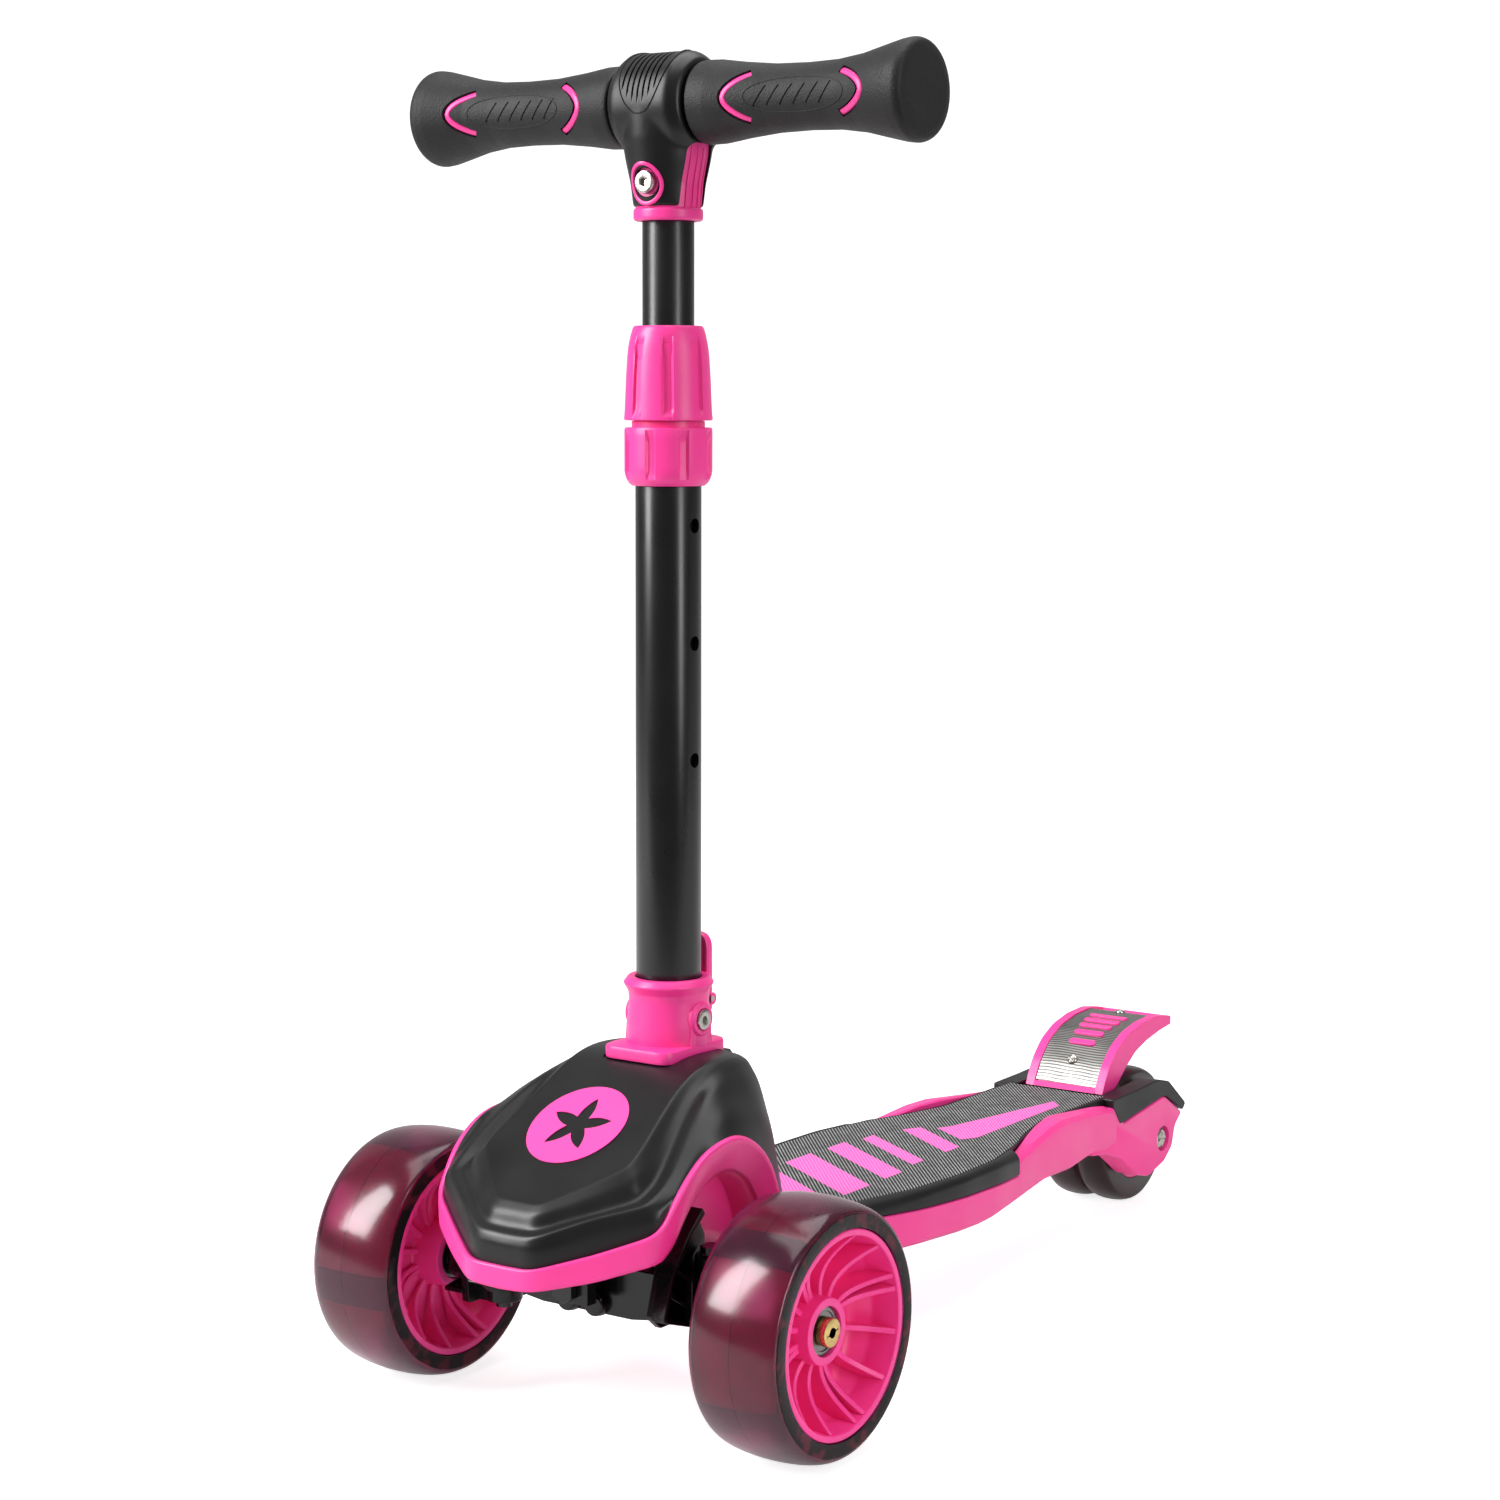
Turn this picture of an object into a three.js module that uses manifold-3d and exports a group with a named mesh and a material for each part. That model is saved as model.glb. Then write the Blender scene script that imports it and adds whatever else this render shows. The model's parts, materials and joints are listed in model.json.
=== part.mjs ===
// Three-wheeled lean-to-steer kick scooter for a young child.
// Millimetres, +Z up, +X to the rider's left, -Y forwards. The origin is on the ground, under the
// middle of the scooter's length and width.
import * as THREE from "three";
import { mergeVertices } from "three/addons/utils/BufferGeometryUtils.js";
import Module from "manifold-3d";

const wasm = await Module();
wasm.setup();

// ---------- driving dimensions ----------
const GAP = 0.3; // between pieces that touch
const RUN = 0.4; // radial clearance of a shaft in its hole

const WHEELBASE = 486.7;
const FRONT_WHEEL_D = 120;
const FRONT_TYRE_WIDTH = 47;
const FRONT_RIM_D = 96;
const FRONT_WHEEL_X = 110.8;
const REAR_WHEEL_D = 80;
const REAR_TYRE_WIDTH = 20;
const REAR_RIM_D = 52;
const BEARING_D = 22;
const BEARING_WIDTH = 7;
const AXLE_D = 8;
const AXLE_HEAD_D = 13.4;
const HEX_KEY_D = 5.8;
const SPOKES = 14;
const WHEEL_SIDES = 28;
const REAR_WHEEL_SIDES = 24;

const KINGPIN_X = 62;
const KINGPIN_D = 8;
const BEAM_HEIGHT = 24;
const BEAM_DEPTH = 32;
const LEAN_PIVOT_RISE = 6; // above the front axle

const DECK_TOP_Z = 75;
const DECK_BOTTOM_Z = 42;
const DECK_HALF_WIDTH = 61;
const TRAY_DEPTH = 9;
const MAT_THICKNESS = 2;
const SHELL_WALL = 3;
const ARM_OUTER_X = 39.4;
const ARM_INNER_X = 24;
const PIN_D = 4;
const BOLT_D = 5; // the bolts through the column foot and the bar head

const NOSE_Y = -77;
const HOOD_HALF_WIDTH = 65;
const HOOD_WALL = 2.5;
const HOOD_RISE = 105.5; // hood top above the front axle

const COLUMN_Y = 49.2;
const LOWER_TUBE_D = 31;
const UPPER_TUBE_D = 24.2;
const TUBE_WALL = 1.8;
const LOWER_TUBE_LENGTH = 281.4;
const UPPER_TUBE_LENGTH = 368;
const FOOT_WALL = 3.9;
const COLLAR_WALL = 4.8;
const HOLE_D = 7;
const HOLE_PITCH = 55;
const HOLES = 3;
const TUBE_TO_COLLAR = 24.7; // from the collar's lower edge up to the lower tube's end
const TUBE_SHOWN = 76; // upper tube above the clamp nut, with the bar at its lowest
const TUBE_SEAT = 38.7; // lowest end of the upper tube above the lower tube's end
const BUTTON_RISE = 34.5; // snap button above the upper tube's lower end
const HINGE_D = 9;

const BAR_RISE = 25; // bar axis above the upper tube's end
const BAR_TUBE_D = 22;
const BAR_LENGTH = 280;
const GRIP_CORE_WALL = 1.9;
const HEAD_RADIUS = 24;
const HEAD_HALF_WIDTH = 20.5;

// ---------- places worked out from them ----------
const frontZ = FRONT_WHEEL_D / 2;
const rearZ = REAR_WHEEL_D / 2;
const pivotZ = frontZ + LEAN_PIVOT_RISE;
const beamTop = frontZ + BEAM_HEIGHT / 2 + 4;
const beamBottom = beamTop - BEAM_HEIGHT;
const hoodTop = frontZ + HOOD_RISE;
const tongueZ = beamTop + 12;
const shellTop = DECK_TOP_Z - TRAY_DEPTH;
const brakeY = WHEELBASE - rearZ - 6.7;
const brakeZ = REAR_WHEEL_D - 10;
const deckEnd = brakeY - 8;
const footBottom = hoodTop - 2.5;
const footTop = footBottom + 37.5;
const tubeBottom = footBottom + 13.3;
const tubeTop = tubeBottom + LOWER_TUBE_LENGTH;
const collarZ = tubeTop - TUBE_TO_COLLAR;
const neckZ = collarZ + TUBE_TO_COLLAR + 2.3;
const nutZ = neckZ + 3;
const nutTop = nutZ + 44;
const innerTop = Math.max(nutTop + TUBE_SHOWN, tubeBottom + TUBE_SEAT + UPPER_TUBE_LENGTH);
const innerBottom = innerTop - UPPER_TUBE_LENGTH;
const barZ = innerTop + BAR_RISE;
const lowerR = LOWER_TUBE_D / 2;
const lowerBore = lowerR - TUBE_WALL;
const upperR = UPPER_TUBE_D / 2;
const upperBore = upperR - TUBE_WALL;
const buttonZ = innerBottom + BUTTON_RISE;
const topHoleZ = buttonZ + HOLES * HOLE_PITCH;
const footR = lowerR + FOOT_WALL;
const hingeY = COLUMN_Y + footR + 6.4;
const hingeZ = footBottom - 5;
const axleR = AXLE_D / 2;
const middleY = (NOSE_Y + WHEELBASE + rearZ) / 2;

// ---------- colours ----------
const paint = (color, roughness, metalness = 0) =>
  new THREE.MeshStandardMaterial({ color, roughness, metalness });
const pink = paint("#ff3fa0", 0.4);
const black = paint("#2a2a2c", 0.5);
const rubber = paint("#3a3a3e", 0.8);
const smoke = paint("#5a2338", 0.15);
const steel = paint("#b8bac0", 0.35, 1);
const brass = paint("#b08a3c", 0.35, 1);
const blackSteel = paint("#1c1c1e", 0.3, 0.6);
const glow = paint("#e8e2ea", 0.5);

// ---------- solids ----------
// A closed geometry as a solid, its faces turned outwards.
function solid(geometry) {
  const bare = new THREE.BufferGeometry();
  bare.setAttribute("position", geometry.getAttribute("position"));
  if (geometry.index) bare.setIndex(geometry.index);
  const merged = mergeVertices(bare, 1e-3);
  const index = Array.from(merged.index.array);
  const build = (triVerts) =>
    new wasm.Manifold(
      new wasm.Mesh({
        numProp: 3,
        vertProperties: merged.attributes.position.array,
        triVerts: new Uint32Array(triVerts),
      }),
    );
  const made = build(index);
  if (made.volume() > 0) return made;
  const turned = [];
  for (let i = 0; i < index.length; i += 3) turned.push(index[i], index[i + 2], index[i + 1]);
  return build(turned);
}

function extruded(points, depth) {
  const shape = new THREE.Shape(points.map(([u, v]) => new THREE.Vector2(u, v)));
  return new THREE.ExtrudeGeometry(shape, { depth, bevelEnabled: false });
}

// Prisms of an outline: [x, y] along Z, [y, z] along X, and [x, z] along Y.
function prismZ(points, z0, z1) {
  return solid(extruded(points, z1 - z0).translate(0, 0, z0));
}
function prismX(points, x0, x1) {
  const turn = new THREE.Matrix4().set(0, 0, 1, x0, 1, 0, 0, 0, 0, 1, 0, 0, 0, 0, 0, 1);
  return solid(extruded(points, x1 - x0).applyMatrix4(turn));
}
function prismY(points, y0, y1) {
  const turn = new THREE.Matrix4().set(0, 1, 0, 0, 0, 0, 1, y0, 1, 0, 0, 0, 0, 0, 0, 1);
  const swapped = points.map(([x, z]) => [z, x]);
  return solid(extruded(swapped, y1 - y0).applyMatrix4(turn));
}
function box(x0, x1, y0, y1, z0, z1) {
  const g = new THREE.BoxGeometry(x1 - x0, y1 - y0, z1 - z0);
  return solid(g.translate((x0 + x1) / 2, (y0 + y1) / 2, (z0 + z1) / 2));
}
// Round rods along each axis, placed by the middle of their section and their two ends.
function rod(radius, length, sides) {
  return new THREE.CylinderGeometry(radius, radius, length, sides);
}
function rodX(radius, y, z, x0, x1, sides = 12) {
  return solid(rod(radius, x1 - x0, sides).rotateZ(Math.PI / 2).translate((x0 + x1) / 2, y, z));
}
function rodY(radius, x, z, y0, y1, sides = 12) {
  return solid(rod(radius, y1 - y0, sides).translate(x, (y0 + y1) / 2, z));
}
function rodZ(radius, x, y, z0, z1, sides = 12) {
  return solid(rod(radius, z1 - z0, sides).rotateX(Math.PI / 2).translate(x, y, (z0 + z1) / 2));
}
// A ring turned from its section of [radius, place along the axis], closed on itself.
function turned(section, sides) {
  const loop = [...section, section[0]].map(([r, h]) => new THREE.Vector2(r, h));
  return new THREE.LatheGeometry(loop, sides);
}
function turnedX(section, y, z, sides = 32) {
  return solid(turned(section, sides).rotateZ(-Math.PI / 2).translate(0, y, z));
}
function turnedZ(section, x, y, sides = 32) {
  return solid(turned(section, sides).rotateX(Math.PI / 2).translate(x, y, 0));
}
function joined(first, ...rest) {
  return rest.reduce((all, next) => all.add(next), first);
}
function cut(first, ...rest) {
  return rest.reduce((all, next) => all.subtract(next), first);
}
// A range given by its two ends in either order.
const span = (a, b) => [Math.min(a, b), Math.max(a, b)];
const mirrored = (points) => [...points, ...[...points].reverse().map(([x, v]) => [-x, v])];

// An open line of points moved sideways, to the right of its direction for a positive distance.
function offsetLine(points, distance) {
  return points.map(([u, v], i) => {
    const before = points[Math.max(i - 1, 0)];
    const after = points[Math.min(i + 1, points.length - 1)];
    const unit = (a, b) => new THREE.Vector2(b[0] - a[0], b[1] - a[1]).normalize();
    const arrive = i ? unit(before, points[i]) : unit(points[i], after);
    const leave = i < points.length - 1 ? unit(points[i], after) : arrive;
    const across = new THREE.Vector2(arrive.y + leave.y, -arrive.x - leave.x).normalize();
    const spread = distance / Math.max(across.x * arrive.y - across.y * arrive.x, 0.5);
    return [u + across.x * spread, v + across.y * spread];
  });
}

// ---------- the scene graph ----------
const scooter = new THREE.Group();
const frame = new THREE.Group();
frame.position.y = -middleY;
scooter.add(frame);

function piece(name, made, material, place = frame) {
  const data = made.getMesh();
  const geometry = new THREE.BufferGeometry();
  const xyz = new Float32Array(data.numVert * 3);
  for (let i = 0; i < data.numVert; i++) {
    xyz.set(data.vertProperties.subarray(i * data.numProp, i * data.numProp + 3), i * 3);
  }
  geometry.setAttribute("position", new THREE.BufferAttribute(xyz, 3));
  geometry.setIndex(new THREE.BufferAttribute(data.triVerts, 1));
  const mesh = new THREE.Mesh(geometry.toNonIndexed(), material);
  mesh.geometry.computeVertexNormals();
  mesh.name = name;
  place.add(mesh);
  return mesh;
}
const SIDES = [
  ["left", 1],
  ["right", -1],
];

// ---------- wheels ----------
// The tyre's section, from the inner edge of one side over the crown to the other, with a groove for
// the light ring where one is asked for.
function tyreSection(seatR, crownR, width, groove = []) {
  const half = width / 2;
  const faceR = crownR - 0.22 * half;
  const crown = [-1, -0.8, 0, 0.8, 1].map((t) => [
    faceR + (crownR - faceR) * Math.sqrt(1 - t * t),
    t * half,
  ]);
  return [[seatR, -half], ...crown, [seatR, half], ...groove];
}

const rimR = FRONT_RIM_D / 2;
const grooveR = rimR + 4;
const grooveHalf = 10;
const lightGroove = [
  [rimR, grooveHalf],
  [grooveR, grooveHalf],
  [grooveR, -grooveHalf],
  [rimR, -grooveHalf],
];
const hubOuterFace = 13.2;
const hubInnerFace = -20;
const bearingR = BEARING_D / 2;
const outerBearingAt = hubOuterFace - 1.7 - BEARING_WIDTH;
const innerBearingAt = hubInnerFace + 1;
const bossR = bearingR + 4;

// One slanting spoke, as a thin blade that sweeps forwards as it goes outwards.
const SPOKE_SWEEP = 0.55; // radians
const SPOKE_THICKNESS = 2.4;
function spokeOutline(turn) {
  const corner = (r, angle, shift) => {
    const a = turn + angle + shift / r;
    return [r * Math.cos(a), r * Math.sin(a)];
  };
  const half = SPOKE_THICKNESS / 2;
  return [
    corner(bossR - 2, 0, -half),
    corner(rimR - 2, SPOKE_SWEEP, -half),
    corner(rimR - 2, SPOKE_SWEEP, half),
    corner(bossR - 2, 0, half),
  ];
}

function frontHub() {
  const rim = turnedX(
    [
      [rimR - GAP, -23],
      [rimR - GAP, 23],
      [rimR - 4, 23],
      [rimR - 5, 4],
      [bossR, -2],
      [bossR, hubOuterFace],
      [bearingR + GAP, hubOuterFace],
      [bearingR + GAP, outerBearingAt - GAP],
      [bearingR - 3, outerBearingAt - GAP],
      [bearingR - 3, innerBearingAt + BEARING_WIDTH + GAP],
      [bearingR + GAP, innerBearingAt + BEARING_WIDTH + GAP],
      [bearingR + GAP, hubInnerFace],
      [bossR, hubInnerFace],
      [bossR, -6],
      [rimR - 5, 0],
      [rimR - 4, -23],
    ],
    0,
    0,
    WHEEL_SIDES,
  );
  const spokes = Array.from({ length: SPOKES }, (_, i) =>
    prismX(spokeOutline((i * 2 * Math.PI) / SPOKES), -3.5, 11),
  );
  return joined(rim, ...spokes);
}

function bearing(from) {
  return turnedX(
    [
      [axleR + RUN, from],
      [bearingR, from],
      [bearingR, from + BEARING_WIDTH],
      [axleR + RUN, from + BEARING_WIDTH],
    ],
    0,
    0,
    16,
  );
}

for (const [side, sign] of SIDES) {
  // The two front wheels are mirror images about the middle plane.
  const wheel = new THREE.Group();
  wheel.position.set(sign * FRONT_WHEEL_X, 0, frontZ);
  wheel.rotation.z = sign > 0 ? 0 : Math.PI;
  frame.add(wheel);
  const tyre = turnedX(tyreSection(rimR, frontZ, FRONT_TYRE_WIDTH, lightGroove), 0, 0, WHEEL_SIDES);
  piece(`front_tyre_${side}`, tyre, smoke, wheel);
  const ring = turnedX(
    [
      [rimR + 0.5, -grooveHalf + GAP],
      [grooveR - 0.6, -grooveHalf + GAP],
      [grooveR - 0.6, grooveHalf - GAP],
      [rimR + 0.5, grooveHalf - GAP],
    ],
    0,
    0,
    WHEEL_SIDES,
  );
  piece(`light_ring_${side}`, ring, glow, wheel);
  piece(`front_hub_${side}`, frontHub(), pink, wheel);
  piece(`front_outer_bearing_${side}`, bearing(outerBearingAt), steel, wheel);
  piece(`front_inner_bearing_${side}`, bearing(innerBearingAt), steel, wheel);
  // The axle bolt, from its button head outside to its threaded end in the knuckle.
  const headAt = outerBearingAt + BEARING_WIDTH + GAP;
  const knuckleAt = KINGPIN_X + 10 - FRONT_WHEEL_X;
  const bolt = joined(
    rodX(axleR, 0, 0, knuckleAt + 1, headAt + 1),
    rodX(AXLE_HEAD_D / 2, 0, 0, headAt, headAt + 4.4),
  );
  const socket = rodX(HEX_KEY_D / 2, 0, 0, headAt + 2, headAt + 6, 6);
  piece(`front_axle_bolt_${side}`, cut(bolt, socket), brass, wheel);
}

const rearRimR = REAR_RIM_D / 2;
const rearHalf = REAR_TYRE_WIDTH / 2;
const rearWheelX = rearHalf + 1.2;
for (const [side, sign] of SIDES) {
  const wheel = new THREE.Group();
  wheel.position.set(sign * rearWheelX, WHEELBASE, rearZ);
  frame.add(wheel);
  const tyre = turnedX(tyreSection(rearRimR, rearZ, REAR_TYRE_WIDTH), 0, 0, REAR_WHEEL_SIDES);
  piece(`rear_tyre_${side}`, tyre, smoke, wheel);
  const hub = turnedX(
    [
      [rearRimR - GAP, -rearHalf],
      [rearRimR - GAP, rearHalf],
      [rearRimR - 4, rearHalf],
      [rearRimR - 4, 3],
      [bossR, 3],
      [bossR, rearHalf],
      [bearingR + GAP, rearHalf],
      [bearingR + GAP, -rearHalf],
      [bossR, -rearHalf],
      [bossR, -3],
      [rearRimR - 4, -3],
      [rearRimR - 4, -rearHalf],
    ],
    0,
    0,
    20,
  );
  piece(`rear_hub_${side}`, hub, pink, wheel);
  piece(`rear_bearing_${side}`, bearing(-BEARING_WIDTH / 2), steel, wheel);
}
const spacer = turnedX(
  [
    [axleR + RUN, -rearWheelX + BEARING_WIDTH / 2 + GAP],
    [axleR + RUN + 2.2, -rearWheelX + BEARING_WIDTH / 2 + GAP],
    [axleR + RUN + 2.2, rearWheelX - BEARING_WIDTH / 2 - GAP],
    [axleR + RUN, rearWheelX - BEARING_WIDTH / 2 - GAP],
  ],
  WHEELBASE,
  rearZ,
  20,
);
piece("rear_wheel_spacer", spacer, steel);
const rearHeadR = AXLE_HEAD_D / 2 - 0.2;
const recessR = rearHeadR + 1.5;
const recessFloor = ARM_OUTER_X - 3.7;
const rearBolt = joined(
  rodX(axleR, WHEELBASE, rearZ, -recessFloor - 3, recessFloor + 1),
  rodX(rearHeadR, WHEELBASE, rearZ, recessFloor + GAP, recessFloor + 3),
);
const rearSocket = rodX(HEX_KEY_D / 2, WHEELBASE, rearZ, recessFloor + 1.4, recessFloor + 4, 6);
piece("rear_axle_bolt", cut(rearBolt, rearSocket), steel);
const rearNut = cut(
  rodX(rearHeadR, WHEELBASE, rearZ, -recessFloor - 3, -recessFloor - GAP, 6),
  rodX(axleR + GAP, WHEELBASE, rearZ, -recessFloor - 5, -recessFloor),
);
piece("rear_axle_nut", rearNut, steel);

// ---------- leaning truck and steering ----------
const kingR = KINGPIN_D / 2;
const eyeR = kingR + 5;
const beamEnd = KINGPIN_X - eyeR - 4;
const beam = joined(
  box(-beamEnd, beamEnd, -BEAM_DEPTH / 2, BEAM_DEPTH / 2, beamBottom, beamTop),
  ...[1, -1].map((s) => rodZ(eyeR, s * KINGPIN_X, 0, beamBottom, beamTop, 24)),
  box(-KINGPIN_X, KINGPIN_X, -eyeR + 1, eyeR - 1, beamBottom, beamTop),
);
const beamPockets = [1, -1].flatMap((s) =>
  [-1, 1].map((t) => {
    const wide = span(s * 14, s * (beamEnd - 4));
    const deep = span(t * 4, t * (BEAM_DEPTH / 2 - 3));
    return box(...wide, ...deep, beamBottom - 1, beamTop - 5);
  }),
);
const truckBeam = cut(
  beam,
  ...beamPockets,
  rodY(4 + RUN, 0, pivotZ, -BEAM_DEPTH, BEAM_DEPTH),
  ...[1, -1].map((s) => rodZ(kingR + GAP, s * KINGPIN_X, 0, beamBottom - 1, beamTop + 1)),
);
piece("truck_beam", truckBeam, black);

const tieRodY = 32;
const tieRodZ = beamBottom + 1;
const tiePinR = 2.5;
const tieRod = cut(
  box(-KINGPIN_X - 6, KINGPIN_X + 6, tieRodY - 5, tieRodY + 5, tieRodZ, tieRodZ + 3.5),
  ...[1, -1].map((s) => rodZ(tiePinR + 1.2, s * KINGPIN_X, tieRodY, tieRodZ - 1, tieRodZ + 5)),
);
piece("tie_rod", tieRod, blackSteel);

const plateFrom = KINGPIN_X + 10;
const plateTo = plateFrom + 8;
const earTop = beamTop + 10;
const earBottom = beamBottom - 9;
const wheelInnerX = FRONT_WHEEL_X + hubInnerFace;
for (const [side, sign] of SIDES) {
  const ear = (z0, z1) =>
    joined(rodZ(eyeR, KINGPIN_X, 0, z0, z1, 24), box(KINGPIN_X, plateTo, -eyeR, eyeR, z0, z1));
  const upper = ear(beamTop + GAP, earTop);
  const lower = ear(earBottom, beamBottom - GAP);
  const plate = box(plateFrom, plateTo, -14, 14, earBottom, earTop);
  const axleBoss = rodX(11, 0, frontZ, plateTo - 1, wheelInnerX - 1, 24);
  const arm = box(KINGPIN_X - 5, KINGPIN_X + 5, 4, tieRodY + 5, earBottom, earBottom + 5);
  const armPin = rodZ(tiePinR, KINGPIN_X, tieRodY, earBottom + 4, tieRodZ + 4);
  const grooves = [-1, 1].flatMap((t) =>
    [0, 1].map((i) => {
      const z = earBottom + 5 + i * 26;
      return box(plateFrom + 4, plateTo + 1, ...span(t * 11.2, t * 15), z, z + 8);
    }),
  );
  const made = cut(
    joined(upper, lower, plate, axleBoss, arm, armPin),
    rodZ(kingR + GAP, KINGPIN_X, 0, earBottom - 1, earTop + 1),
    rodX(axleR + GAP, 0, frontZ, plateFrom - 1, wheelInnerX),
    ...grooves,
  );
  const pinHead = joined(
    rodZ(kingR, KINGPIN_X, 0, earBottom - 3, earTop + 1),
    rodZ(kingR + 2.5, KINGPIN_X, 0, earTop + GAP, earTop + 3.5, 6),
  );
  const mirror = (m) => (sign > 0 ? m : m.mirror([1, 0, 0]));
  piece(`knuckle_${side}`, mirror(made), black);
  piece(`kingpin_${side}`, mirror(pinHead), steel);
}
// The lean bolt holds the beam between the two brackets under the frame.
const bracketFrom = BEAM_DEPTH / 2 + 7;
const bracketTo = bracketFrom + 7;
const leanBolt = joined(
  rodY(4, 0, pivotZ, -bracketTo - 1, bracketTo + 3),
  rodY(6.5, 0, pivotZ, -bracketTo - 4, -bracketTo - GAP, 6),
);
piece("lean_bolt", leanBolt, steel);
for (const [side, sign] of SIDES) {
  const spring = turnedZ(
    [
      [4, beamTop + GAP],
      [7.5, beamTop + GAP],
      [6.5, (beamTop + tongueZ) / 2],
      [7.5, tongueZ - GAP],
      [4, tongueZ - GAP],
    ],
    sign * 34,
    0,
    16,
  );
  piece(`lean_spring_${side}`, spring, rubber);
}

// ---------- deck ----------
// Half outlines of the deck, as [half width, distance behind the front axle].
const narrow = ARM_INNER_X + 9.5;
const deckStart = 60;
const shoulderY = brakeY - 156;
const shellHalf = [
  [42, deckStart],
  [50, 150],
  [DECK_HALF_WIDTH - 3, 187],
  [DECK_HALF_WIDTH, 226],
  [DECK_HALF_WIDTH - 1, shoulderY - 21],
  [DECK_HALF_WIDTH - 6, shoulderY + 16],
  [DECK_HALF_WIDTH - 12, shoulderY + 61],
  [ARM_OUTER_X + 3, shoulderY + 116],
  [ARM_OUTER_X, deckEnd],
];
const trayHalf = [
  [42, deckStart + 19],
  [50, 150],
  [DECK_HALF_WIDTH - 3, 187],
  [DECK_HALF_WIDTH, 226],
  [DECK_HALF_WIDTH - 1, shoulderY - 21],
  [DECK_HALF_WIDTH - 4, shoulderY],
  [DECK_HALF_WIDTH - 12, shoulderY + 4],
  [DECK_HALF_WIDTH - 20, shoulderY + 38],
  [narrow, shoulderY + 71],
  [narrow, deckEnd],
];
const matHalf = [
  [38, deckStart + 30],
  [42, 150],
  [DECK_HALF_WIDTH - 9, 187],
  [DECK_HALF_WIDTH - 5, 226],
  [DECK_HALF_WIDTH - 6, shoulderY - 21],
  [DECK_HALF_WIDTH - 14, shoulderY + 16],
  [DECK_HALF_WIDTH - 22, shoulderY + 38],
  [narrow - 2.5, shoulderY + 71],
  [narrow - 2.5, deckEnd - 4],
];
const armSide = [
  [deckEnd - 40, 45],
  [deckEnd + 2, rearZ - 2],
  [WHEELBASE - 42, rearZ - 8],
  [WHEELBASE - 31, rearZ - 15],
  [WHEELBASE - 16, rearZ - 19],
  [WHEELBASE + 3, rearZ - 14],
  [WHEELBASE + 12, rearZ - 7],
  [WHEELBASE + 16, rearZ + 5],
  [WHEELBASE + 24, rearZ + 12],
  [WHEELBASE + 1, rearZ + 25.7],
  [deckEnd + 4.6, rearZ + 18.7],
  [deckEnd, shellTop + 4],
  [deckEnd - 40, shellTop + 4],
];
const shoulderTop = [
  [shoulderY, shellTop - 2],
  [shoulderY, shellTop + 3],
  [shoulderY + 61, DECK_TOP_Z + 1],
  [shoulderY + 81, DECK_TOP_Z + 1],
  [deckEnd - 14, DECK_TOP_Z - 5],
  [deckEnd - 8, shellTop + 4],
  [deckEnd - 8, shellTop - 2],
];

function deckShell() {
  const outer = prismZ(mirrored(shellHalf), DECK_BOTTOM_Z, shellTop - GAP);
  const hollowHalf = shellHalf.slice(0, -1).map(([x, y]) => [x - SHELL_WALL, y]);
  hollowHalf[0][1] += SHELL_WALL;
  hollowHalf.push([ARM_INNER_X, deckEnd - 36]);
  const hollow = prismZ(mirrored(hollowHalf), DECK_BOTTOM_Z + SHELL_WALL, shellTop + 1);
  const ribs = [120, 180, 240, 300, 360]
    .filter((y) => y < deckEnd - 50)
    .map((y) => box(-30, 30, y, y + 3, DECK_BOTTOM_Z + 1, shellTop - GAP));
  const spine = box(-1.5, 1.5, deckStart + 1, deckEnd - 30, DECK_BOTTOM_Z + 1, shellTop - GAP);
  const shoulderPlan = prismZ(mirrored(shellHalf), shellTop - 2, DECK_TOP_Z + 3);
  const clearOfTray = prismZ(
    mirrored(trayHalf.map(([x, y]) => [x + GAP, y])),
    shellTop - GAP,
    DECK_TOP_Z + 4,
  );
  const shoulders = cut(
    shoulderPlan.intersect(prismX(shoulderTop, -DECK_HALF_WIDTH, DECK_HALF_WIDTH)),
    clearOfTray,
    box(-narrow + 3, narrow - 3, shoulderY - 1, deckEnd + 1, shellTop - 3, shellTop),
  );
  const arms = [1, -1].map((s) => prismX(armSide, ...span(s * ARM_INNER_X, s * ARM_OUTER_X)));
  const tongue = box(-28, 28, -bracketTo - 6, deckStart + 18, tongueZ, tongueZ + 6);
  const neck = box(-28, 28, deckStart, deckStart + 18, DECK_BOTTOM_Z, tongueZ + 6);
  const bracket = (y0, y1) => box(-12, 12, y0, y1, pivotZ - 7, tongueZ + 1);
  const brackets = [bracket(bracketFrom, bracketTo), bracket(-bracketTo, -bracketFrom)];
  return cut(
    joined(cut(outer, hollow), spine, ...ribs, shoulders, ...arms, tongue, neck, ...brackets),
    cut(clearOfTray, box(-200, 200, -200, 900, 0, shellTop - GAP)),
    rodY(4 + GAP, 0, pivotZ, -bracketTo - 1, bracketTo + 1),
    rodX(axleR + GAP, WHEELBASE, rearZ, -ARM_OUTER_X - 1, ARM_OUTER_X + 1),
    rodX(recessR, WHEELBASE, rearZ, recessFloor, ARM_OUTER_X + 1, 24),
    rodX(recessR, WHEELBASE, rearZ, -ARM_OUTER_X - 1, -recessFloor, 24),
    rodX(PIN_D / 2 + GAP, brakeY, brakeZ, -ARM_OUTER_X + 6, ARM_OUTER_X - 6),
  );
}
piece("deck_shell", deckShell(), pink);

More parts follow.
